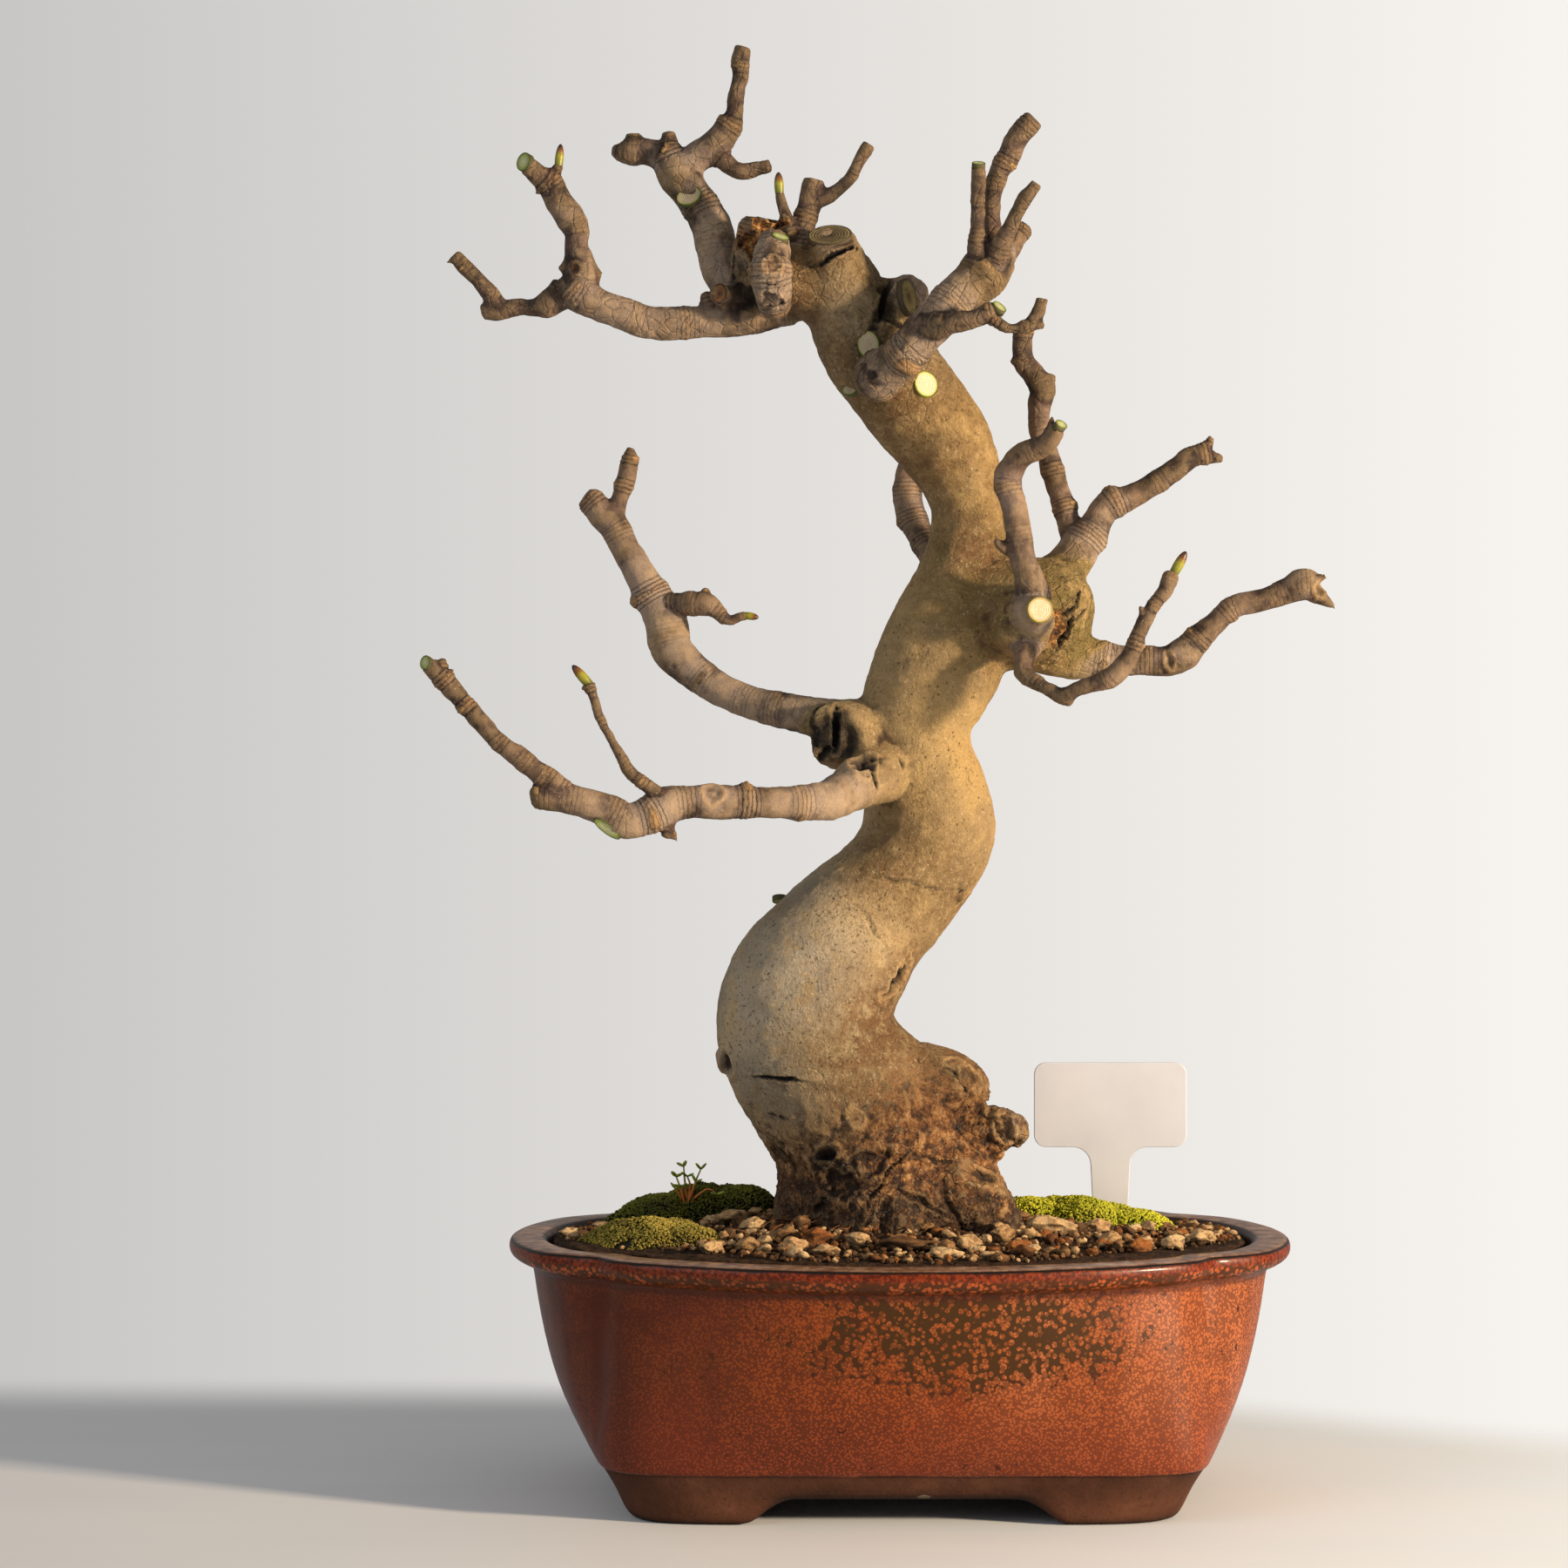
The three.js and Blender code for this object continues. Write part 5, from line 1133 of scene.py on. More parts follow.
def makeBuds():
    bm = bmesh.new()
    layer = bm.verts.layers.float.new("tip")
    for route in buds.values():
        base, top = place(*route[0][:3]), place(*route[-1][:3])
        length = (top - base).length
        widest = max(point[3] for point in route) * mm
        made = bmesh.ops.create_uvsphere(bm, u_segments=12, v_segments=10, radius=1.0)["verts"]
        turn = (top - base).to_track_quat("Z", "Y").to_matrix()
        for corner in made:
            share = (corner.co.z + 1) / 2
            corner[layer] = share
            slim = (1 - share) ** 0.55 * (0.55 + 0.9 * share) * 1.12
            flat = math.hypot(corner.co.x, corner.co.y) or 1
            spread = widest * slim * min(1, flat / 0.3)
            x, y = corner.co.x / flat * spread, corner.co.y / flat * spread
            corner.co = base + turn @ Vector((x, y, (share * 1.04 - 0.04) * length))
    bmesh.ops.recalc_face_normals(bm, faces=bm.faces)
    paint = Paint("bud")
    mottle = paint.noise(400)
    skin = paint.ramp((paint.attribute("tip") + (mottle - 0.5) * 0.3).clamped(),
                      [(0.0, "3b2518"), (0.2, "6d7018"), (0.5, "8f8a20"), (0.72, "70451c"), (0.95, "2c1a11")])
    settle(fromBmesh("buds", bm), paint.finish(skin, 0.4, [(mottle, 0.2)]), "bark", "tree")


# The pot. A row is one ring of its wall from the middle of the underside up, over the rim and down inside:
# half-width, half-depth, height, depth of the corner notch, and how square the plan is

pot = {
    "width": 310, "depth": 232, "longSideRadius": 205, "endRadius": 115, "notchSpread": 0.085,
    "cornerAngle": 0.525, "squareness": 8, "directions": 208,
    "archHeight": 10, "frontArch": (42, 58.5), "sideArch": (22, 34), "drainHole": (58, 10),
}
potRows = [
    [30, 20, 10.5, 0, 1], [90, 60, 10.5, 0, 1], [94, 64, 10.4, 0, 1], [95, 65, 9, 0, 1], [96, 66, 1.2, 0, 1],
    [97, 67, 0, 0, 1], [104, 76, 0, 0, 1], [105.8, 77.6, 0.6, 0, 1], [107.4, 79, 2.5, 0, 1],
    [109.2, 80.5, 6.5, 0, 1], [111.5, 82.5, 12, 0, 1], [116.2, 86.8, 19.2, 0.5, 1],
    [116.8, 87.3, 20.2, 0.5, 1], [117.9, 88.4, 20.7, 0.5, 1], [119.6, 89.5, 22.2, 0.8, 0.96],
    [123.4, 91.8, 26, 1, 0.86], [131, 97, 35, 2, 0.6], [136, 100.8, 46, 2.3, 0.42],
    [139.4, 103.7, 57, 2.5, 0.3], [142.4, 106.4, 70, 2.5, 0.2], [144.4, 108.2, 82, 2.6, 0.1],
    [145.2, 109, 88, 2.8, 0.06], [145.9, 109.6, 90.4, 3, 0.04], [148.6, 111.4, 91.8, 3.3],
    [151.8, 113.6, 92.9, 3.8], [154.2, 115.3, 94.6, 4], [154.9, 115.9, 96.6, 4], [154.9, 115.9, 98.4, 4],
    [154.4, 115.4, 100, 4], [153.2, 114.4, 100.8, 4], [151.5, 112.9, 101, 4], [147, 107, 101, 4],
    [142.2, 100.6, 100.9, 4], [140.6, 98.8, 100.3, 4], [139.6, 97.7, 98.8, 4, 0.01],
    [138.4, 97, 92, 4, 0.05], [134, 95, 72, 3.5, 0.18], [130, 92, 55, 3, 0.3], [118, 84, 28, 2, 0.6],
    [112, 79, 21.5, 2, 0.66], [108, 76, 20, 2, 0.7], [60, 42, 20, 0, 0.7],
]


def lobedReach(fold):
    def out(offset, radius, along):
        return offset * along + math.sqrt(radius ** 2 - offset ** 2 * (1 - along ** 2))
    if fold < pot["cornerAngle"]:
        return out(pot["width"] / 2 - pot["endRadius"], pot["endRadius"], math.cos(fold))
    return out(pot["depth"] / 2 - pot["longSideRadius"], pot["longSideRadius"], math.sin(fold))


def planSpot(angle, halfWide, halfDeep, notch=0, square=0):
    fold = math.acos(min(1, abs(math.cos(angle))))
    reach = lobedReach(fold)
    x = math.cos(angle) * reach / (pot["width"] / 2)
    y = math.sin(angle) * reach / (pot["depth"] / 2)
    power = pot["squareness"]
    toSquare = (abs(x) ** power + abs(y) ** power) ** (-1 / power)
    stretch = 1 + (toSquare - 1) * square
    drawn = notch * math.exp(-((fold - pot["cornerAngle"]) / pot["notchSpread"]) ** 2)
    return x * stretch * halfWide - math.cos(angle) * drawn, y * stretch * halfDeep - math.sin(angle) * drawn


def archLift(x, y):
    across, flat, foot = (abs(x), *pot["frontArch"]) if abs(y) > 60 else (abs(y), *pot["sideArch"])
    if across >= foot:
        return 0
    share = min(1, (foot - across) / (foot - flat))
    return pot["archHeight"] * (1 - (1 - share) ** 1.7)


def makePot():
    bm = bmesh.new()
    lining = bm.verts.layers.float.new("lining")
    topRow = next(number for number, row in enumerate(potRows) if row[2] > 100.9)

    def setRing(number, ring):
        wide, deep, z, notch, square = (*potRows[number], 0, 0)[:5]
        notch *= 1.8 if z > 40 and number < topRow else 1.3
        for corner, angle in ring:
            x, y = planSpot(angle, wide, deep, notch, square)
            lift = archLift(x, y) if z < 12 and wide > 93 else 0
            corner.co = place(x, y, z + lift * max(0, 1 - z / 11.9))
            corner[lining] = 1.0 if number >= topRow and z < 100.8 else 0.0

    first, last = stackRings(bm, pot["directions"], len(potRows), setRing)
    capLoop(bm, edgesOf(first))
    capLoop(bm, last)
    bmesh.ops.recalc_face_normals(bm, faces=bm.faces)
    piece = fromBmesh("glazed_pot", bm)
    modify(piece, "SUBSURF", levels=1, render_levels=1)
    offset, radius = pot["drainHole"]
    drill = bmesh.new()
    for side in (-1, 1):
        spot = Matrix.Translation(place(side * offset, 0, 16))
        bmesh.ops.create_cone(drill, cap_ends=True, segments=48, radius1=radius * mm, radius2=radius * mm,
                              depth=20 * mm, matrix=spot)
    cutter = fromBmesh("drill", drill)
    modify(piece, "BOOLEAN", operation="DIFFERENCE", object=cutter, solver="MANIFOLD")
    piece = bake(piece)
    bpy.data.objects.remove(cutter)
    setSmooth(piece.data)
    modify(piece, "EDGE_SPLIT", split_angle=math.radians(50))
    settle(bake(piece), glazePaint(), "glaze", "pot")


def glazePaint():
    paint = Paint("pot glaze")
    x, y, z = [paint.axis(name) for name in "XYZ"]
    broad = paint.noise(18, 3, 0.5, 0.3)
    streak = paint.noise(1.0, 3, 0.5, 0.4, paint.stretched(60, 60, 8))
    medium = paint.noise(120, 4, 0.6)
    fine = paint.noise(700, 3, 0.6)

    def oval(atX, atZ, across, up):  # 0 in the middle of an oval on the front; half sizes are squared
        return (x - atX) * (x - atX) / across + (z - atZ) * (z - atZ) / up

    side = (x + 0.15).rise(0.0, 0.3)
    orange = paint.ramp((side * 0.62 + (streak - 0.5) * 0.8 + 0.16).clamped(),
                        [(0.0, "4a2113"), (0.2, "703415"), (0.42, "914519"), (0.62, "9a5228"),
                         (0.85, "a86039")])
    low = z.fall(0.025, 0.06)
    orange = paint.mix(low * 0.6, orange, "843a22")
    deep = paint.ramp(broad, [(0.35, "35140a"), (0.65, "4f1d0e")])
    # round orange drops that run together, thin where the olive ground shows
    heart = (oval(0.028, 0.076, 0.0034, 0.00036) + (medium - 0.5) * 3.0).fall(0.0, 2.0) * y.fall(0.0, 0.02)
    bare = paint.noise(38, 4, 0.6, 0.6).rise(0.52, 0.68) * 0.4 + paint.noise(12, 2).rise(0.5, 0.65) * 0.12
    thin = (heart * 0.95 + bare * z.rise(0.04, 0.07)).clamped()
    reach = 1.02 - thin * 0.54 + (medium - 0.5) * 0.5
    big = ((reach - paint.cells(430)) * 8.0).clamped()
    small = ((0.53 + (medium - 0.5) * 0.5 - low * 0.05 - paint.cells(900)) * 6.0).clamped()
    stained = x.fall(-0.13, -0.02) * paint.noise(55, 5, 0.7).rise(0.46, 0.6) * z.rise(0.045, 0.075)
    drops = big * (0.35 + small * 0.65) * (0.8 + fine * 0.3) * (1 - stained * 0.7)
    olive = paint.mix(thin, deep, "3c2408")
    body = paint.mix((drops * (0.97 - side.fall(0.05, 0.4) * 0.3)).clamped(), olive, orange)
    # the rim: dusty top painted paler with a painted sheen, a black line at its edge, red glass below it,
    # then a speckled band, and a painted shadow under the rim
    height = z + (paint.noise(90, 3) - 0.5) * 0.0014
    band = paint.mix(((0.5 - paint.cells(520)) * 9.0).clamped() * medium.rise(0.3, 0.6), "46250f", "9c4c24")
    body = paint.mix(height.rise(0.0908, 0.0922), body, band)
    red = paint.mix(fine.rise(0.4, 0.62), "45150a", "7c3010")
    body = paint.mix(height.rise(0.0958, 0.0974) * 0.9, body, red)
    body = paint.mix(height.rise(0.0992, 0.1), body, "17100e")
    # the rim's top: dusty glaze painted paler, with a painted sheen
    dustAndSheen = paint.ramp(paint.noise(140, 5, 0.7), [(0.35, "583829"), (0.5, "825e49"), (0.7, "a98a74")])
    top = z.rise(0.1003, 0.1008)
    body = paint.mix(top, body, dustAndSheen)
    # painted shadow under the rim
    rimShadow = ((z - 0.0905).size()).fall(0.0006, 0.0028)
    body = paint.mix(rimShadow * 0.65, body, "3a180c")
    # bare clay below the glaze line
    glazed = (z + (paint.noise(60, 4) - 0.5) * 0.0022).rise(0.0203, 0.0207)
    clay = paint.ramp(paint.noise(45, 5, 0.65), [(0.3, "45291b"), (0.55, "583626"), (0.75, "6a4430")])
    clay = paint.mix(fine.rise(0.6, 0.68) * 0.5, clay, "291a12")
    chip = (oval(0.0117, 0.0116, 0.00001, 0.0000016) + fine).fall(0.9, 1.3)
    clay = paint.mix(chip * y.fall(-0.05, -0.04), clay, "b09d84")
    # painted shade: the bare clay darker where it faces down
    clay = paint.mix(paint.upward().fall(-0.9, -0.3) * 0.8, clay, "160d09")
    body = paint.mix(glazed, clay, body)
    body = paint.mix(paint.attribute("lining") * glazed, body, "35231c")
    paint.fill(paint.shader, {"Coat Weight": glazed * (0.1 + top * 0.4)})
    bumps = [(paint.noise(45, 2), 0.4), (big * glazed, 0.05), (paint.noise(300, 4) * (1 - glazed), 0.35)]
    return paint.finish(body, 0.82 - glazed * 0.42 + top * 0.2, bumps, Specular_IOR_Level=0.15,
                        Coat_Roughness=0.14)


# Soil, stones and moss

ground = {"edge": 98, "mound": 11, "layer": 2.6, "halfWide": 137, "halfDeep": 95.9, "directions": 144,
          "rings": 44}
soilColours = [(0.28, "120b07"), (0.45, "2b1c11"), (0.6, "4a3322"), (0.8, "7a5a3e")]
stoneColours = [(0.0, "4a3421"), (0.2, "6f4e2e"), (0.4, "96724a"), (0.55, "b59062"), (0.7, "cfb184"),
                (0.82, "9a5f2a"), (0.93, "7d4b22"), (1.0, "4b382a")]


def groundHeight(x, y):
    mound = math.exp(-((x + 2) / 68) ** 2 - (y / 62) ** 2)
    waves = 0.5 * math.sin(x / 14 + 1) * math.cos(y / 11)
    return ground["edge"] + ground["mound"] * mound + waves + ground["layer"]


def wallRoom(x, y):  # 0 at the pot's wall, 1 in its middle
    angle = math.atan2(y / ground["halfDeep"], x / ground["halfWide"])
    out = math.hypot(x / ground["halfWide"], y / ground["halfDeep"])
    return 1 - 0.1 * abs(math.sin(2 * angle)) ** 4 - out


def insidePot(x, y, share):
    return wallRoom(x, y) > 1 - share


def trunkDistance(x, y):
    return math.hypot(x + 2, y)


def makeGround():
    bm = bmesh.new()

    def setRing(number, ring):
        share = 1 - (number - 1) / ground["rings"] if number else 1.004
        for corner, angle in ring:
            x, y = planSpot(angle, ground["halfWide"] * share, ground["halfDeep"] * share, 4 * share ** 4)
            corner.co = place(x, y, groundHeight(x, y) - (0.7 if number else 2.2))

    capLoop(bm, stackRings(bm, ground["directions"], ground["rings"] + 1, setRing)[1])
    bmesh.ops.recalc_face_normals(bm, faces=bm.faces)
    if sum(face.normal.z for face in bm.faces) < 0:
        bmesh.ops.reverse_faces(bm, faces=bm.faces)
    piece = fromBmesh("soil_top", bm)
    modify(piece, "SUBSURF", levels=1, render_levels=1)
    roughen(piece, "clods", 0.009, 2, 2.6, direction="Z")
    roughen(piece, "crumbs", 0.0025, 2, 1.3, direction="Z")
    paint = Paint("soil")
    mixed = paint.noise(380, 6, 0.75)
    soil = paint.ramp(mixed, soilColours)
    soil = paint.mix(paint.noise(40).rise(0.5, 0.7) * paint.noise(500).rise(0.5, 0.6) * 0.4, soil, "4d4a1e")
    bumps = [(mixed, 1.6), (paint.noise(1200, 3), 0.5)]
    settle(bake(piece), paint.finish(soil, 0.95, bumps, Specular_IOR_Level=0.2), "soil", "gravel")


# Larger stones, listed one by one: x, y, length, width, height, turn in degrees, tone on the stone colours
handStones = [
    [-66, -2, 11, 9, 7, 20, 0.6], [-58, -25, 11, 9, 6, 70, 0.65], [-46, -50, 11, 9, 7, 10, 0.35],
    [-33, -56, 12, 9, 7, 40, 0.85], [-42, -66, 10, 8, 6, 0, 0.75], [-59, -64, 11, 9, 6, 30, 0.5],
    [-18, -60, 10, 8, 6, 80, 0.62], [0, -70, 20, 13, 5, 5, 0.15], [14, -83, 14, 8, 4, -5, 0.68],
    [60, -26, 20, 13, 9, 10, 0.64], [78, -12, 11, 8, 6, 50, 0.6], [81, -42, 11, 8, 6, 15, 0.55],
    [90, -58, 10, 8, 6, 60, 0.85], [105, -44, 10, 8, 6, 5, 0.7], [117, -28, 12, 10, 7, 35, 0.66],
    [44, -66, 10, 8, 6, 25, 0.84], [39, -48, 11, 8, 6, 60, 0.5], [-30, -78, 9, 8, 5, 15, 0.6],
    [-73, -66, 10, 7, 5, 45, 0.62], [25, -62, 10, 8, 5, 30, 0.6],
]
gritLook = {"pebbles": 420, "pebbleSize": (3.0, 8.0), "fineFrom": 5.5, "grains": 3200,
            "grainSize": (1.1, 3.4), "seed": 12, "batch": 60,
            "pebbleTones": (0.1, 0.3, 0.4, 0.45, 0.55, 0.6, 0.66, 0.7, 0.84, 0.92, 0.2),
            "grainTones": (0.3, 0.45, 0.58, 0.66, 0.84, 0.92)}


def roughStone(bm, layer, spot, sizes, turn, tone, draw, detail):
    made = bmesh.ops.create_icosphere(bm, subdivisions=detail, radius=0.5)["verts"]
    shift = Vector((draw.random(), draw.random(), draw.random())) * 40
    planes = []
    for _ in range(6):  # flat broken faces
        facing = Vector((draw.gauss(0, 1), draw.gauss(0, 1), draw.gauss(0, 1))).normalized()
        planes.append((facing, draw.uniform(0.26, 0.42)))
    spin = Matrix.Rotation(math.radians(turn), 3, "Z") @ Matrix.Rotation(draw.uniform(-0.3, 0.3), 3, "X")
    for corner in made:
        point = corner.co.copy()
        for facing, limit in planes:
            over = point.dot(facing) - limit
            if over > 0:
                point -= facing * over * 0.85
        if detail > 2:
            point *= 1 + 0.3 * noise.noise(point * 3.2 + shift) + 0.12 * noise.noise(point * 9 + shift)
        corner[layer] = tone
        corner.co = spot + spin @ Vector([part * size for part, size in zip(point, sizes)]) * mm


def pourStones(name, stones, detail, draw, smooth, downDarkening):  # built in small batches, which is much quicker
    heap = bmesh.new()
    for start in range(0, len(stones), gritLook["batch"]):
        bm = bmesh.new()
        layer = bm.verts.layers.float.new("tone")
        for spot, sizes, turn, tone in stones[start:start + gritLook["batch"]]:
            finer = sizes[0] >= gritLook["fineFrom"] or detail < 3
            roughStone(bm, layer, spot, sizes, turn, tone, draw, detail if finer else detail - 1)
        batch = bpy.data.meshes.new("batch")
        bm.to_mesh(batch)
        bm.free()
        heap.from_mesh(batch)
        bpy.data.meshes.remove(batch)
    settle(fromBmesh(name, heap, smooth), stonePaint(name, downDarkening), "stones", "gravel")


def onTrunkOrLabel(x, y, room):
    atLabel = abs(x - labelPlan["x"]) < 9 + room and abs(y - labelPlan["y"]) < room + 1
    return trunkDistance(x, y) < 38 + room or atLabel


def inMoss(x, y, share):
    return any(((x - m["x"]) / m["reach"][0]) ** 2 + ((y - m["y"]) / m["reach"][1]) ** 2 < share
               for m in mossPlans.values())


def anySpot(draw):
    return draw.uniform(-1, 1) * ground["halfWide"], draw.uniform(-1, 1) * ground["halfDeep"]


def makeStones():
    draw = random.Random(gritLook["seed"])
    stones = []
    for x, y, length, width, height, turn, tone in handStones:
        spot = place(x, y, groundHeight(x, y) + height * 0.2)
        stones.append((spot, (length * 1.12, width * 1.12, height * 1.15), turn, tone))
    pourStones("large_stones", stones, 4, draw, True, 1.0)
    pebbles, grains = [], []
    low, high = gritLook["pebbleSize"]
    while len(pebbles) < gritLook["pebbles"]:
        x, y = anySpot(draw)
        size = low + (high - low) * draw.random() ** 1.8
        if not insidePot(x, y, 0.97) or onTrunkOrLabel(x, y, size * 0.5 + 1) or inMoss(x, y, 0.95):
            continue
        tone = draw.choice(gritLook["pebbleTones"]) + draw.uniform(-0.04, 0.04)
        spot = place(x, y, groundHeight(x, y) + size * draw.uniform(-0.05, 0.3))
        sizes = (size, size * draw.uniform(0.65, 0.95), size * draw.uniform(0.5, 0.8))
        pebbles.append((spot, sizes, draw.uniform(0, 180), tone))
    pourStones("pebbles", pebbles, 3, draw, True, 1.0)
    while len(grains) < gritLook["grains"]:
        x, y = anySpot(draw)
        size = draw.uniform(*gritLook["grainSize"])
        if not insidePot(x, y, 0.985) or onTrunkOrLabel(x, y, -1):
            continue
        if inMoss(x, y, 0.9) and draw.random() < 0.93:
            continue
        soily = draw.random() < 0.62
        tone = draw.uniform(0.0, 0.16) if soily else draw.choice(gritLook["grainTones"])
        spot = place(x, y, groundHeight(x, y) - 0.6 + size * draw.uniform(0.05, 0.45))
        sizes = (size, size * draw.uniform(0.6, 1.0), size * draw.uniform(0.6, 0.9))
        grains.append((spot, sizes, draw.uniform(0, 180), tone))
    pourStones("grit", grains, 1, draw, False, 0.7)


def stonePaint(name, downDarkening):
    paint = Paint(name)
    medium = paint.noise(260, 5, 0.65)
    skin = paint.ramp(paint.attribute("tone"), stoneColours)
    skin = paint.mix(medium.rise(0.42, 0.66) * 0.6, skin, "8a6a48", "MULTIPLY")
    skin = paint.mix(paint.noise(900, 3).rise(0.55, 0.66) * 0.6, skin, "4a3524")
    # darker where the stone faces sideways or down
    downFacing = (paint.upward() + (medium - 0.5) * 1.2).fall(-0.3, 0.7)
    skin = paint.mix(downFacing * downDarkening * 0.7, skin, "2f2014")
    return paint.finish(skin, 0.9, [(medium, 0.8), (paint.noise(1100, 3), 0.35)], Specular_IOR_Level=0.3)


mossPlans = {
    "moss_left_back": {
        "x": -84, "y": 44, "reach": (44, 26), "height": 17, "seed": 11, "shoots": 9500, "tall": 1.5,
        "lumps": 8, "colours": ("10130a", "3c430b", "8d8a20"), "slot": "dark_moss", "cover": 1.0,
    },
    "moss_left_front": {
        "x": -100, "y": -30, "reach": (34, 22), "height": 9, "seed": 23, "shoots": 4500, "tall": 1.5,
        "lumps": 6, "colours": ("1f1905", "675d11", "c4b04c"), "slot": "light_moss", "cover": 0.6,
    },
    "moss_right": {
        "x": 76, "y": 30, "reach": (38, 24), "height": 9, "seed": 37, "shoots": 7200, "tall": 1.7,
        "lumps": 6, "colours": ("34370a", "8f9410", "d2cf33"), "slot": "light_moss", "cover": 0.95,
    },
}


def mossCushions(plan):
    draw = random.Random(plan["seed"])
    cushions = []
    for number in range(plan["lumps"]):
        angle = number * 2.4
        out = 0.78 * math.sqrt(number / plan["lumps"])
        wide = (0.46 + 0.14 * draw.random()) * math.sqrt(plan["reach"][0] * plan["reach"][1])
        x = plan["x"] + math.cos(angle) * out * (plan["reach"][0] - 6)
        y = plan["y"] + math.sin(angle) * out * (plan["reach"][1] - 6)
        cushions.append((x, y, wide, plan["height"] * (1 - 0.45 * out) + 3))
        draw.random()
    return cushions


def mossHeight(cushions, x, y):  # height of the cushions over the ground, or below 0 outside them
    best = -5.0
    for cx, cy, wide, tall in cushions:
        inside = 1 - ((x - cx) / wide) ** 2 - ((y - cy) / (wide * 0.86)) ** 2
        if inside > 0:
            best = max(best, tall * math.sqrt(inside) - 3)
    return min(best, wallRoom(x, y) * 80 - 2.6)


def unevenness(x, y):  # of the moss, in mm
    return 0.6 * noise.noise(Vector((x, y, 0)) * 0.25) + 0.5 * noise.noise(Vector((x, y, 7)) * 0.6)


def makeMoss(name, plan):
    cushions = mossCushions(plan)
    draw = random.Random(plan["seed"] + 100)
    bm = bmesh.new()
    layer = bm.verts.layers.float.new("tip")
    reachX, reachY = plan["reach"][0] * 1.35, plan["reach"][1] * 1.35
    size = Vector((reachX, reachY, 1)) * mm
    spread = Matrix.Translation(place(plan["x"], plan["y"], 0)) @ Matrix.Diagonal((*size, 1))
    drop = []
    for corner in bmesh.ops.create_grid(bm, x_segments=90, y_segments=64, size=1.0, matrix=spread)["verts"]:
        x, y = (corner.co.x - potShift.x) / mm, (corner.co.y - potShift.y) / mm
        height = mossHeight(cushions, x, y)
        if height < -2.0 or not insidePot(x, y, 1.0):
            drop.append(corner)
        corner.co.z = (groundHeight(x, y) + height + unevenness(x, y) - 0.8) * mm
        corner[layer] = 0.0
    bmesh.ops.delete(bm, geom=drop, context="VERTS")
    shoots = 0
    tries = 0
    while shoots < plan["shoots"] and tries < plan["shoots"] * 12:
        tries += 1
        x = plan["x"] + draw.uniform(-1, 1) * reachX
        y = plan["y"] + draw.uniform(-1, 1) * reachY
        height = mossHeight(cushions, x, y)
        if height < -1.2 or not insidePot(x, y, 0.985) or onTrunkOrLabel(x, y, -2):
            continue
        if noise.noise(Vector((x, y, 3)) * 0.12) * 0.5 + 0.5 > plan["cover"]:  # a bare patch
            continue
        slopeX = height - mossHeight(cushions, x + 1.5, y)
        slopeY = height - mossHeight(cushions, x, y + 1.5)
        slope = Vector((max(-2, min(2, slopeX)), max(-2, min(2, slopeY)), 1.5))
        lean = slope.normalized() + Vector((draw.gauss(0, 0.22), draw.gauss(0, 0.22), 0.4))
        tall = plan["tall"] * draw.uniform(0.7, 1.25)
        root = place(x, y, groundHeight(x, y) + height + unevenness(x, y) - 1.1)
        tuft(bm, layer, root, lean.normalized(), tall * mm, draw)
        shoots += 1
    bmesh.ops.recalc_face_normals(bm, faces=bm.faces)
    settle(fromBmesh(name + "_shoots", bm), mossPaint(name, plan["colours"]), plan["slot"], name)


def mossPaint(name, colours):
    paint = Paint(name)
    patch = paint.noise(60, 3)
    # dark bases to bright tips: the moss's own colours, with painted shade low in the cushion and a painted
    # highlight at the tips
    share = (paint.attribute("tip") * 0.85 + (patch - 0.5) * 0.7).clamped()
    skin = paint.ramp(share, list(zip((0.1, 0.5, 0.95), colours)))
    skin = paint.mix(paint.noise(25).rise(0.52, 0.66) * 0.35, skin, "6a5a20")
    return paint.finish(skin, 0.85)


def tuft(bm, layer, root, up, tall, draw):  # a shoot: a slim cone with a starry top
    side = up.orthogonal().normalized()
    other = up.cross(side)
    spin = draw.uniform(0, 2 * math.pi)
    foot = bm.verts.new(root)
    foot[layer] = 0.1
    top = bm.verts.new(root + up * tall)
    top[layer] = 1.0
    leaves = []
    for step in range(6):
        angle = spin + step * math.pi / 3
        wide = tall * (0.36 if step % 2 else 0.14)
        rise = 0.9 if step % 2 else 0.62
        out = side * math.cos(angle) + other * math.sin(angle)
        corner = bm.verts.new(root + up * tall * rise + out * wide)
        corner[layer] = 0.85 if step % 2 else 0.45
        leaves.append(corner)
    for step in range(6):
        bm.faces.new((foot, leaves[(step + 1) % 6], leaves[step]))
        bm.faces.new((top, leaves[step], leaves[(step + 1) % 6]))


# The sprout in the left moss: stalks as routes, and leaflets in pairs at their tips

sproutStalks = [
    [[-85, 26, 110], [-86, 26, 119], [-86.5, 26, 125]], [[-85, 26, 110], [-84, 26, 118], [-85, 25.5, 121]],
    [[-86, 26, 110], [-88, 25, 117], [-89.5, 25, 121]], [[-84, 26, 110], [-82, 25, 118], [-79.5, 25, 124]],
    [[-84, 26, 110], [-80, 24.5, 114], [-76, 23.5, 116], [-73, 23, 114]],
    [[-86, 27, 110], [-88, 27, 113], [-90, 27, 116]], [[-85, 25, 110], [-83, 25, 115], [-81.5, 24.5, 119]],
    [[-86, 25, 110], [-87, 24.5, 114], [-87.5, 24, 117]],
]
sproutLook = {"radius": 0.55, "taper": 0.12, "leaf": (1.5, 2.0), "seed": 8}
rootThreads = {"count": 34, "length": (9, 34), "radius": (0.18, 0.45), "seed": 5}


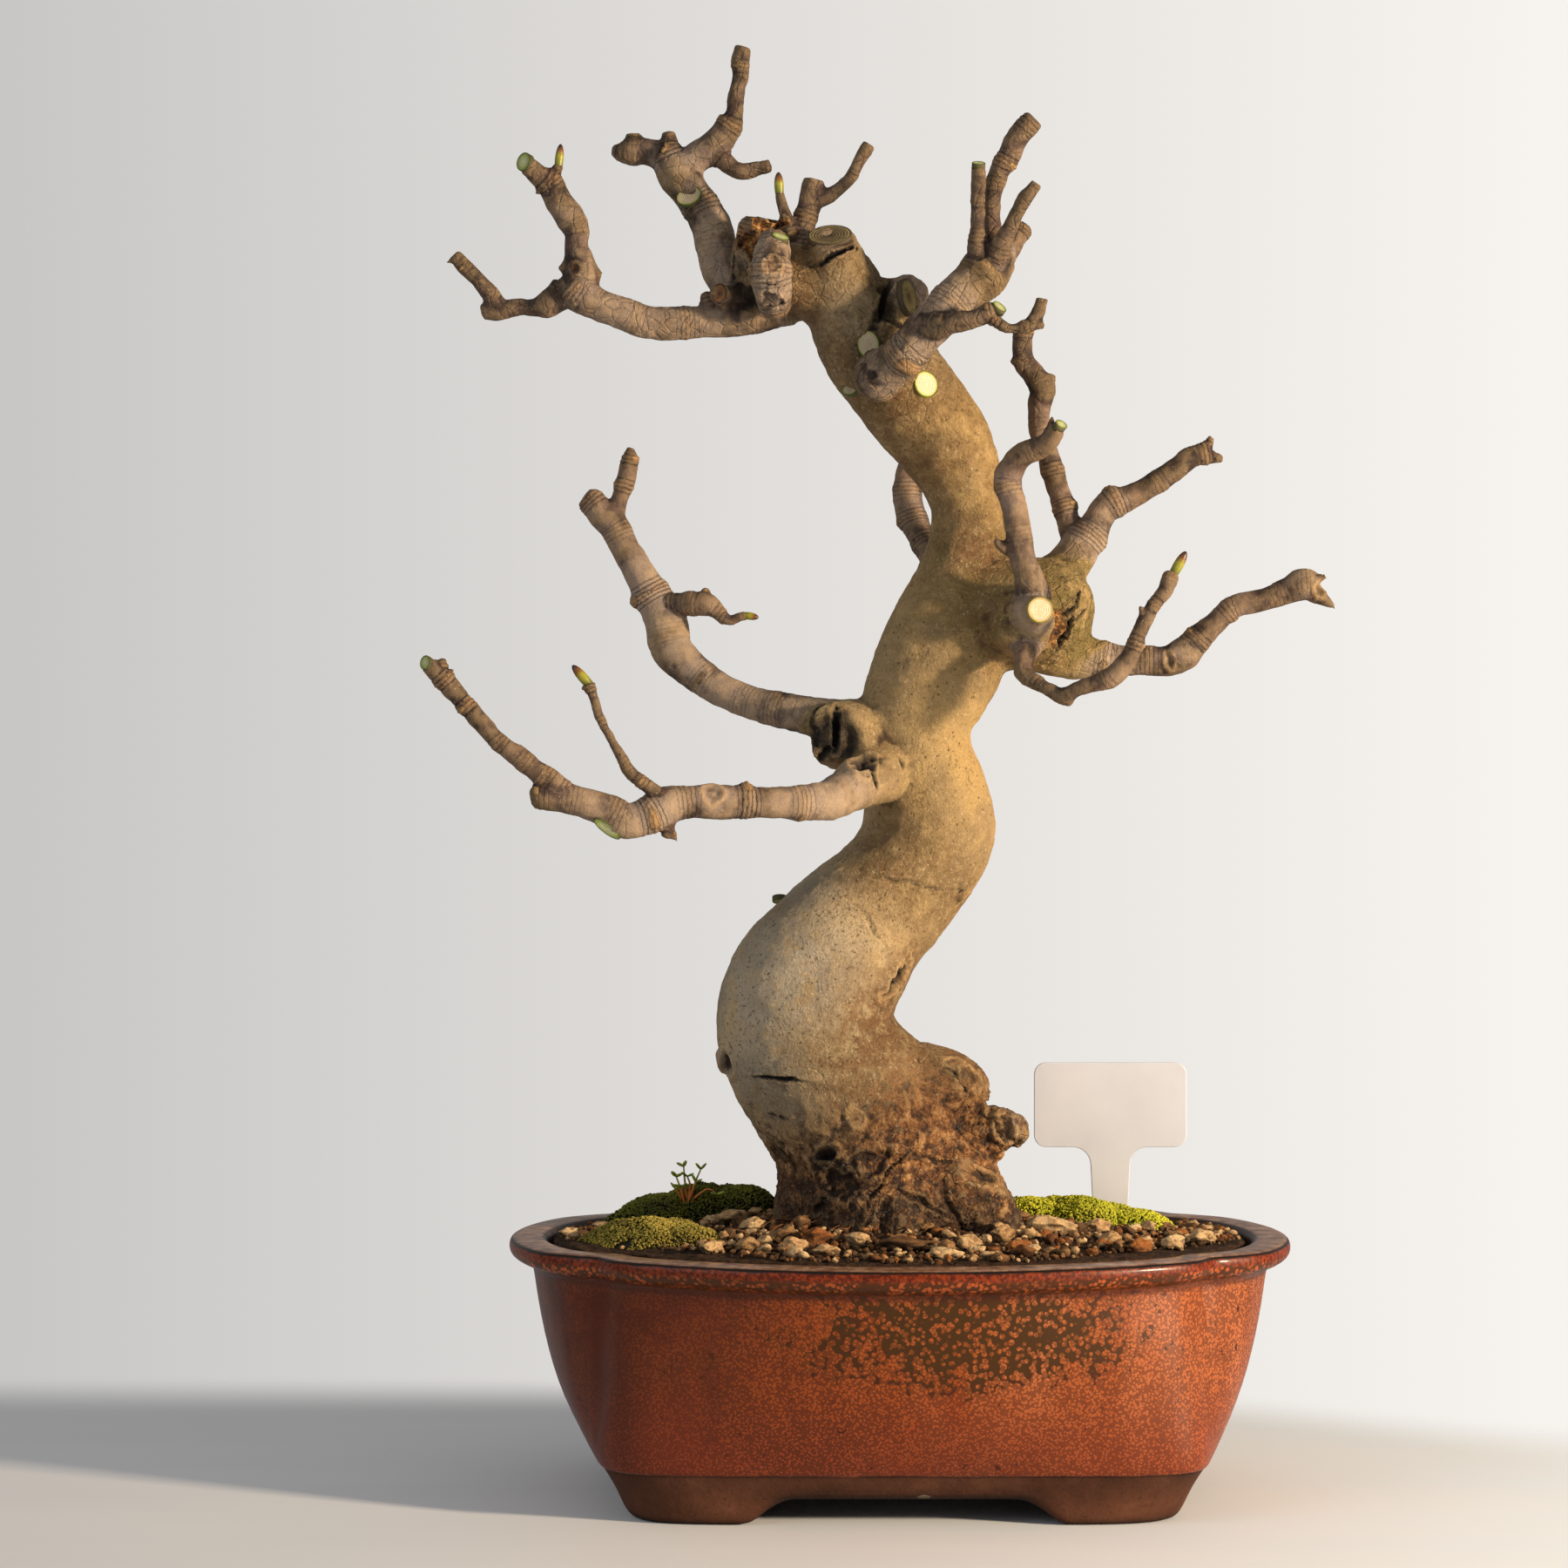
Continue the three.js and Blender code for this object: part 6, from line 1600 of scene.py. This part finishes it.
def makeRootThreads():  # fine roots and fibres that lie round the foot of the trunk
    draw = random.Random(rootThreads["seed"])
    bm = bmesh.new()
    for number in range(rootThreads["count"]):
        heading = draw.uniform(-2.9, -0.2) if number % 3 else draw.uniform(0, 6.28)
        out = draw.uniform(41, 50)
        x, y = -2 + math.cos(heading) * out, math.sin(heading) * out * 0.75
        length = draw.uniform(*rootThreads["length"])
        thick = draw.uniform(*rootThreads["radius"])
        route = []
        heading += draw.uniform(-0.9, 0.9)
        for step in range(6):
            lift = 1.0 + 2.4 * math.sin(math.pi * step / 5) * draw.uniform(0.2, 1)
            route.append([x, y, groundHeight(x, y) + lift, thick * (1.1 - step * 0.16)])
            heading += draw.uniform(-0.55, 0.55)
            x += math.cos(heading) * length / 5
            y += math.sin(heading) * length / 5
        pourInto(bm, limbShell("thread", route))
    paint = Paint("root thread")
    skin = paint.ramp(paint.noise(200), [(0.3, "3a2213"), (0.6, "6f4a2a"), (0.8, "94704a")])
    settle(fromBmesh("root_threads", bm), paint.finish(skin, 0.8, Specular_IOR_Level=0.3), "bark", "tree")


def makeSprout():
    bm = bmesh.new()
    for route in sproutStalks:
        radii = [sproutLook["radius"] - sproutLook["taper"] * step for step in range(len(route))]
        pourInto(bm, limbShell("stalk", [[*point, radius] for point, radius in zip(route, radii)]))
    paint = Paint("sprout stalk")
    skin = paint.ramp(paint.axis("Z").rise(0.108, 0.124), [(0.0, "b4601f"), (0.5, "cf7c34"), (1.0, "9c9a34")])
    stalk = paint.finish(skin, 0.5, [(paint.noise(900), 0.1)])
    settle(fromBmesh("sprout_stalks", bm), stalk, "sprout", "sprout")
    bm = bmesh.new()
    draw = random.Random(sproutLook["seed"])
    for route in sproutStalks:
        tip = place(*route[-1])
        for side in (-1, 1):
            lean = Vector((side * draw.uniform(0.3, 0.8), draw.uniform(-0.6, 0.2), draw.uniform(0.1, 0.9)))
            lean.normalize()
            turn = lean.to_track_quat("X", "Z").to_matrix().to_4x4()
            size = draw.uniform(*sproutLook["leaf"]) * mm
            spread = Matrix.Diagonal((size, size * 0.62, size * 0.3, 1))
            shape = Matrix.Translation(tip + lean * size * 0.85) @ turn @ spread
            bmesh.ops.create_uvsphere(bm, u_segments=14, v_segments=8, radius=1.0, matrix=shape)
    paint = Paint("sprout leaf")
    mottle = paint.noise(350)
    skin = paint.ramp(mottle, [(0.35, "4e7016"), (0.65, "8fa832")])
    leaf = paint.finish(skin, 0.4, [(mottle, 0.15)], Subsurface_Weight=0.15)
    settle(fromBmesh("sprout_leaves", bm), leaf, "sprout", "sprout")


# The label: a blank T-shaped plate with round corners

labelPlan = {"x": 89, "y": 55, "headTop": 165, "headWidth": 63, "headHeight": 35, "corner": 5, "point": 66,
             "pointTall": 14, "stemTop": 17, "stemLow": 12, "stemPoint": 3, "fillet": 7, "thickness": 1.2}


def makeLabel():
    plan = labelPlan
    low = plan["headTop"] - plan["headHeight"]
    half = plan["headWidth"] / 2
    right = [(plan["stemPoint"] / 2, plan["point"]), (plan["stemLow"] / 2, plan["point"] + plan["pointTall"]),
             (plan["stemTop"] / 2, low), (half, low), (half, plan["headTop"])]
    left = [(-x, z) for x, z in reversed(right)]
    bm = bmesh.new()
    front = plan["y"] - plan["thickness"] / 2
    ring = [bm.verts.new(place(plan["x"] + x, front, z)) for x, z in (left[-1], *right, *left[:-1])]
    bm.faces.new(ring)
    for chosen, offset in (((4, 5, 6, 7), plan["corner"]), ((3, 8), plan["fillet"])):
        picked = [ring[i] for i in chosen]
        bmesh.ops.bevel(bm, geom=picked, offset=offset * mm, offset_type="OFFSET", affect="VERTICES",
                        segments=8, profile=0.5, material=-1)
    made = bmesh.ops.extrude_face_region(bm, geom=list(bm.faces))["geom"]
    bmesh.ops.translate(bm, vec=(0, plan["thickness"] * mm, 0), verts=onlyVerts(made))
    bmesh.ops.recalc_face_normals(bm, faces=bm.faces)
    rimEdges = [edge for edge in bm.edges if edge.calc_face_angle(0) > 1.0]
    bmesh.ops.bevel(bm, geom=rimEdges, offset=0.3 * mm, affect="EDGES", segments=2, profile=0.5, material=-1)
    paint = Paint("label plastic")
    # pale grey plastic, its tone lowered from white as painted shade
    skin = paint.ramp(paint.noise(35), [(0.3, "babecb"), (0.7, "c5c8d3")])
    skin = paint.mix(paint.noise(700, 2).rise(0.72, 0.78) * 0.3, skin, "a59c90")
    plastic = paint.finish(skin, 0.5, [(paint.noise(60), 0.15)], Specular_IOR_Level=0.35)
    settle(fromBmesh("plant_label", bm, smooth=False), plastic, "label", "label")


def dressHiddenNodes():
    paint = Paint("drain net")
    net = paint.finish(paint.ramp(paint.noise(300), [(0.3, "141816"), (0.7, "232826")]), 0.6)
    paint = Paint("root ball")
    soil = paint.finish(paint.ramp(paint.noise(300, 5), soilColours), 0.95)
    for name, material in (("drain_mesh_left", net), ("drain_mesh_right", net), ("soil", soil)):
        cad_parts[name].data.materials.clear()
        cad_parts[name].data.materials.append(material)


# Table, light and camera

studio = {"tableBack": 281, "surround": 0.32}
lamps = {
    "key": {"from": (0.85, -0.5, 0.15), "away": 1.9, "power": 70, "size": 0.17, "colour": (1.0, 0.79, 0.55)},
    "cool": {"from": (-0.72, -0.6, 0.42), "away": 1.8, "power": 6, "size": 1.1, "colour": (0.92, 0.96, 1.0)},
}


def makeTable():
    bm = bmesh.new()
    bmesh.ops.create_grid(bm, x_segments=1, y_segments=1, size=2.0)
    for corner in bm.verts:
        corner.co.y = studio["tableBack"] * mm if corner.co.y > 0 else -2.2
    table = fromBmesh("table", bm, smooth=False)
    paint = Paint("table")
    x = paint.axis("X")
    soft = paint.noise(1.0, 3, 0.5, 0, paint.stretched(2, 14, 1))
    # the floor tinted bluer to the right against the warm lamp, and painted shade darkening its left
    boardsAndShade = paint.mix(x.rise(-0.1, 0.3), "e2e4e8", "e6f1fd")
    boardsAndShade = paint.mix(soft.rise(0.3, 0.7) * 0.3, boardsAndShade, "f2f2f4")
    boardsAndShade = paint.mix(x.fall(-0.5, 0.15) * 0.12, boardsAndShade, "a3a3a5")
    away = paint.axis("Y") + x.rise(0.05, 0.35) * 0.14
    paint.fill(paint.shader, {"Alpha": away.fall(0.17, 0.281)})
    table.data.materials.append(paint.finish(boardsAndShade, 0.7))


def softLight(name, look):
    aim = Vector(look["from"]).normalized()
    lamp = bpy.data.lights.new(name, "AREA")
    lamp.energy = look["power"]
    lamp.size = look["size"]
    lamp.color = look["colour"]
    light = newObject(name, lamp)
    light.location = place(0, 0, 280) + aim * look["away"]
    light.rotation_euler = aim.to_track_quat("Z", "Y").to_euler()


def makeLight():
    for name, look in lamps.items():
        softLight(name, look)
    world = bpy.data.worlds.new("studio")
    bpy.context.scene.world = world
    world.use_nodes = True
    tree = Nodes(world.node_tree)
    generated = tree.add("ShaderNodeTexCoord", {}, {}, "Generated")
    x = tree.add("ShaderNodeSeparateXYZ", {}, {0: generated}, "X")
    spread = tree.add("ShaderNodeMapRange", {}, {"Value": x, "From Min": -0.24, "From Max": 0.2})
    # painted shade: the backdrop greyer to the left, where the tree's shadow fell, and whiter to the right
    wallAndShade = tree.add("ShaderNodeValToRGB", {"stops": [(0.0, "c3c2c1"), (1.0, "f7f3ee")]}, {0: spread}, "Color")
    backdrop = tree.nodes["Background"]  # what the camera sees behind the tree
    tree.fill(backdrop, {"Color": wallAndShade})
    even = {"Color": (1.0, 0.975, 0.94, 1), "Strength": studio["surround"]}
    around = tree.add("ShaderNodeBackground", {}, even)  # what lights the tree
    camera = tree.add("ShaderNodeLightPath", {}, {}, "Is Camera Ray")
    either = tree.add("ShaderNodeMixShader", {}, {0: camera, 1: around, 2: Wire(tree, backdrop.outputs[0])})
    tree.fill(tree.nodes["World Output"], {"Surface": either})


def makeCamera():
    data = bpy.data.cameras.new("camera")
    data.lens = photo["lens"]
    data.sensor_width = photo["sensor"]
    camera = newObject("camera", data)
    camera.location = place(*photo["eye"])
    camera.rotation_euler = (math.radians(90), 0, 0)
    bpy.context.scene.camera = camera
    bpy.context.scene.view_settings.view_transform = "Standard"


makeCamera()
makeLight()
makeTable()
print("stage set")
skin = makeTree()
makeCuts(skin)
makeBuds()
print("tree grown")
makePot()
makeGround()
makeStones()
makeRootThreads()
for name, plan in mossPlans.items():
    makeMoss(name, plan)
makeSprout()
makeLabel()
dressHiddenNodes()
print("pot filled")

bpy.context.view_layer.update()
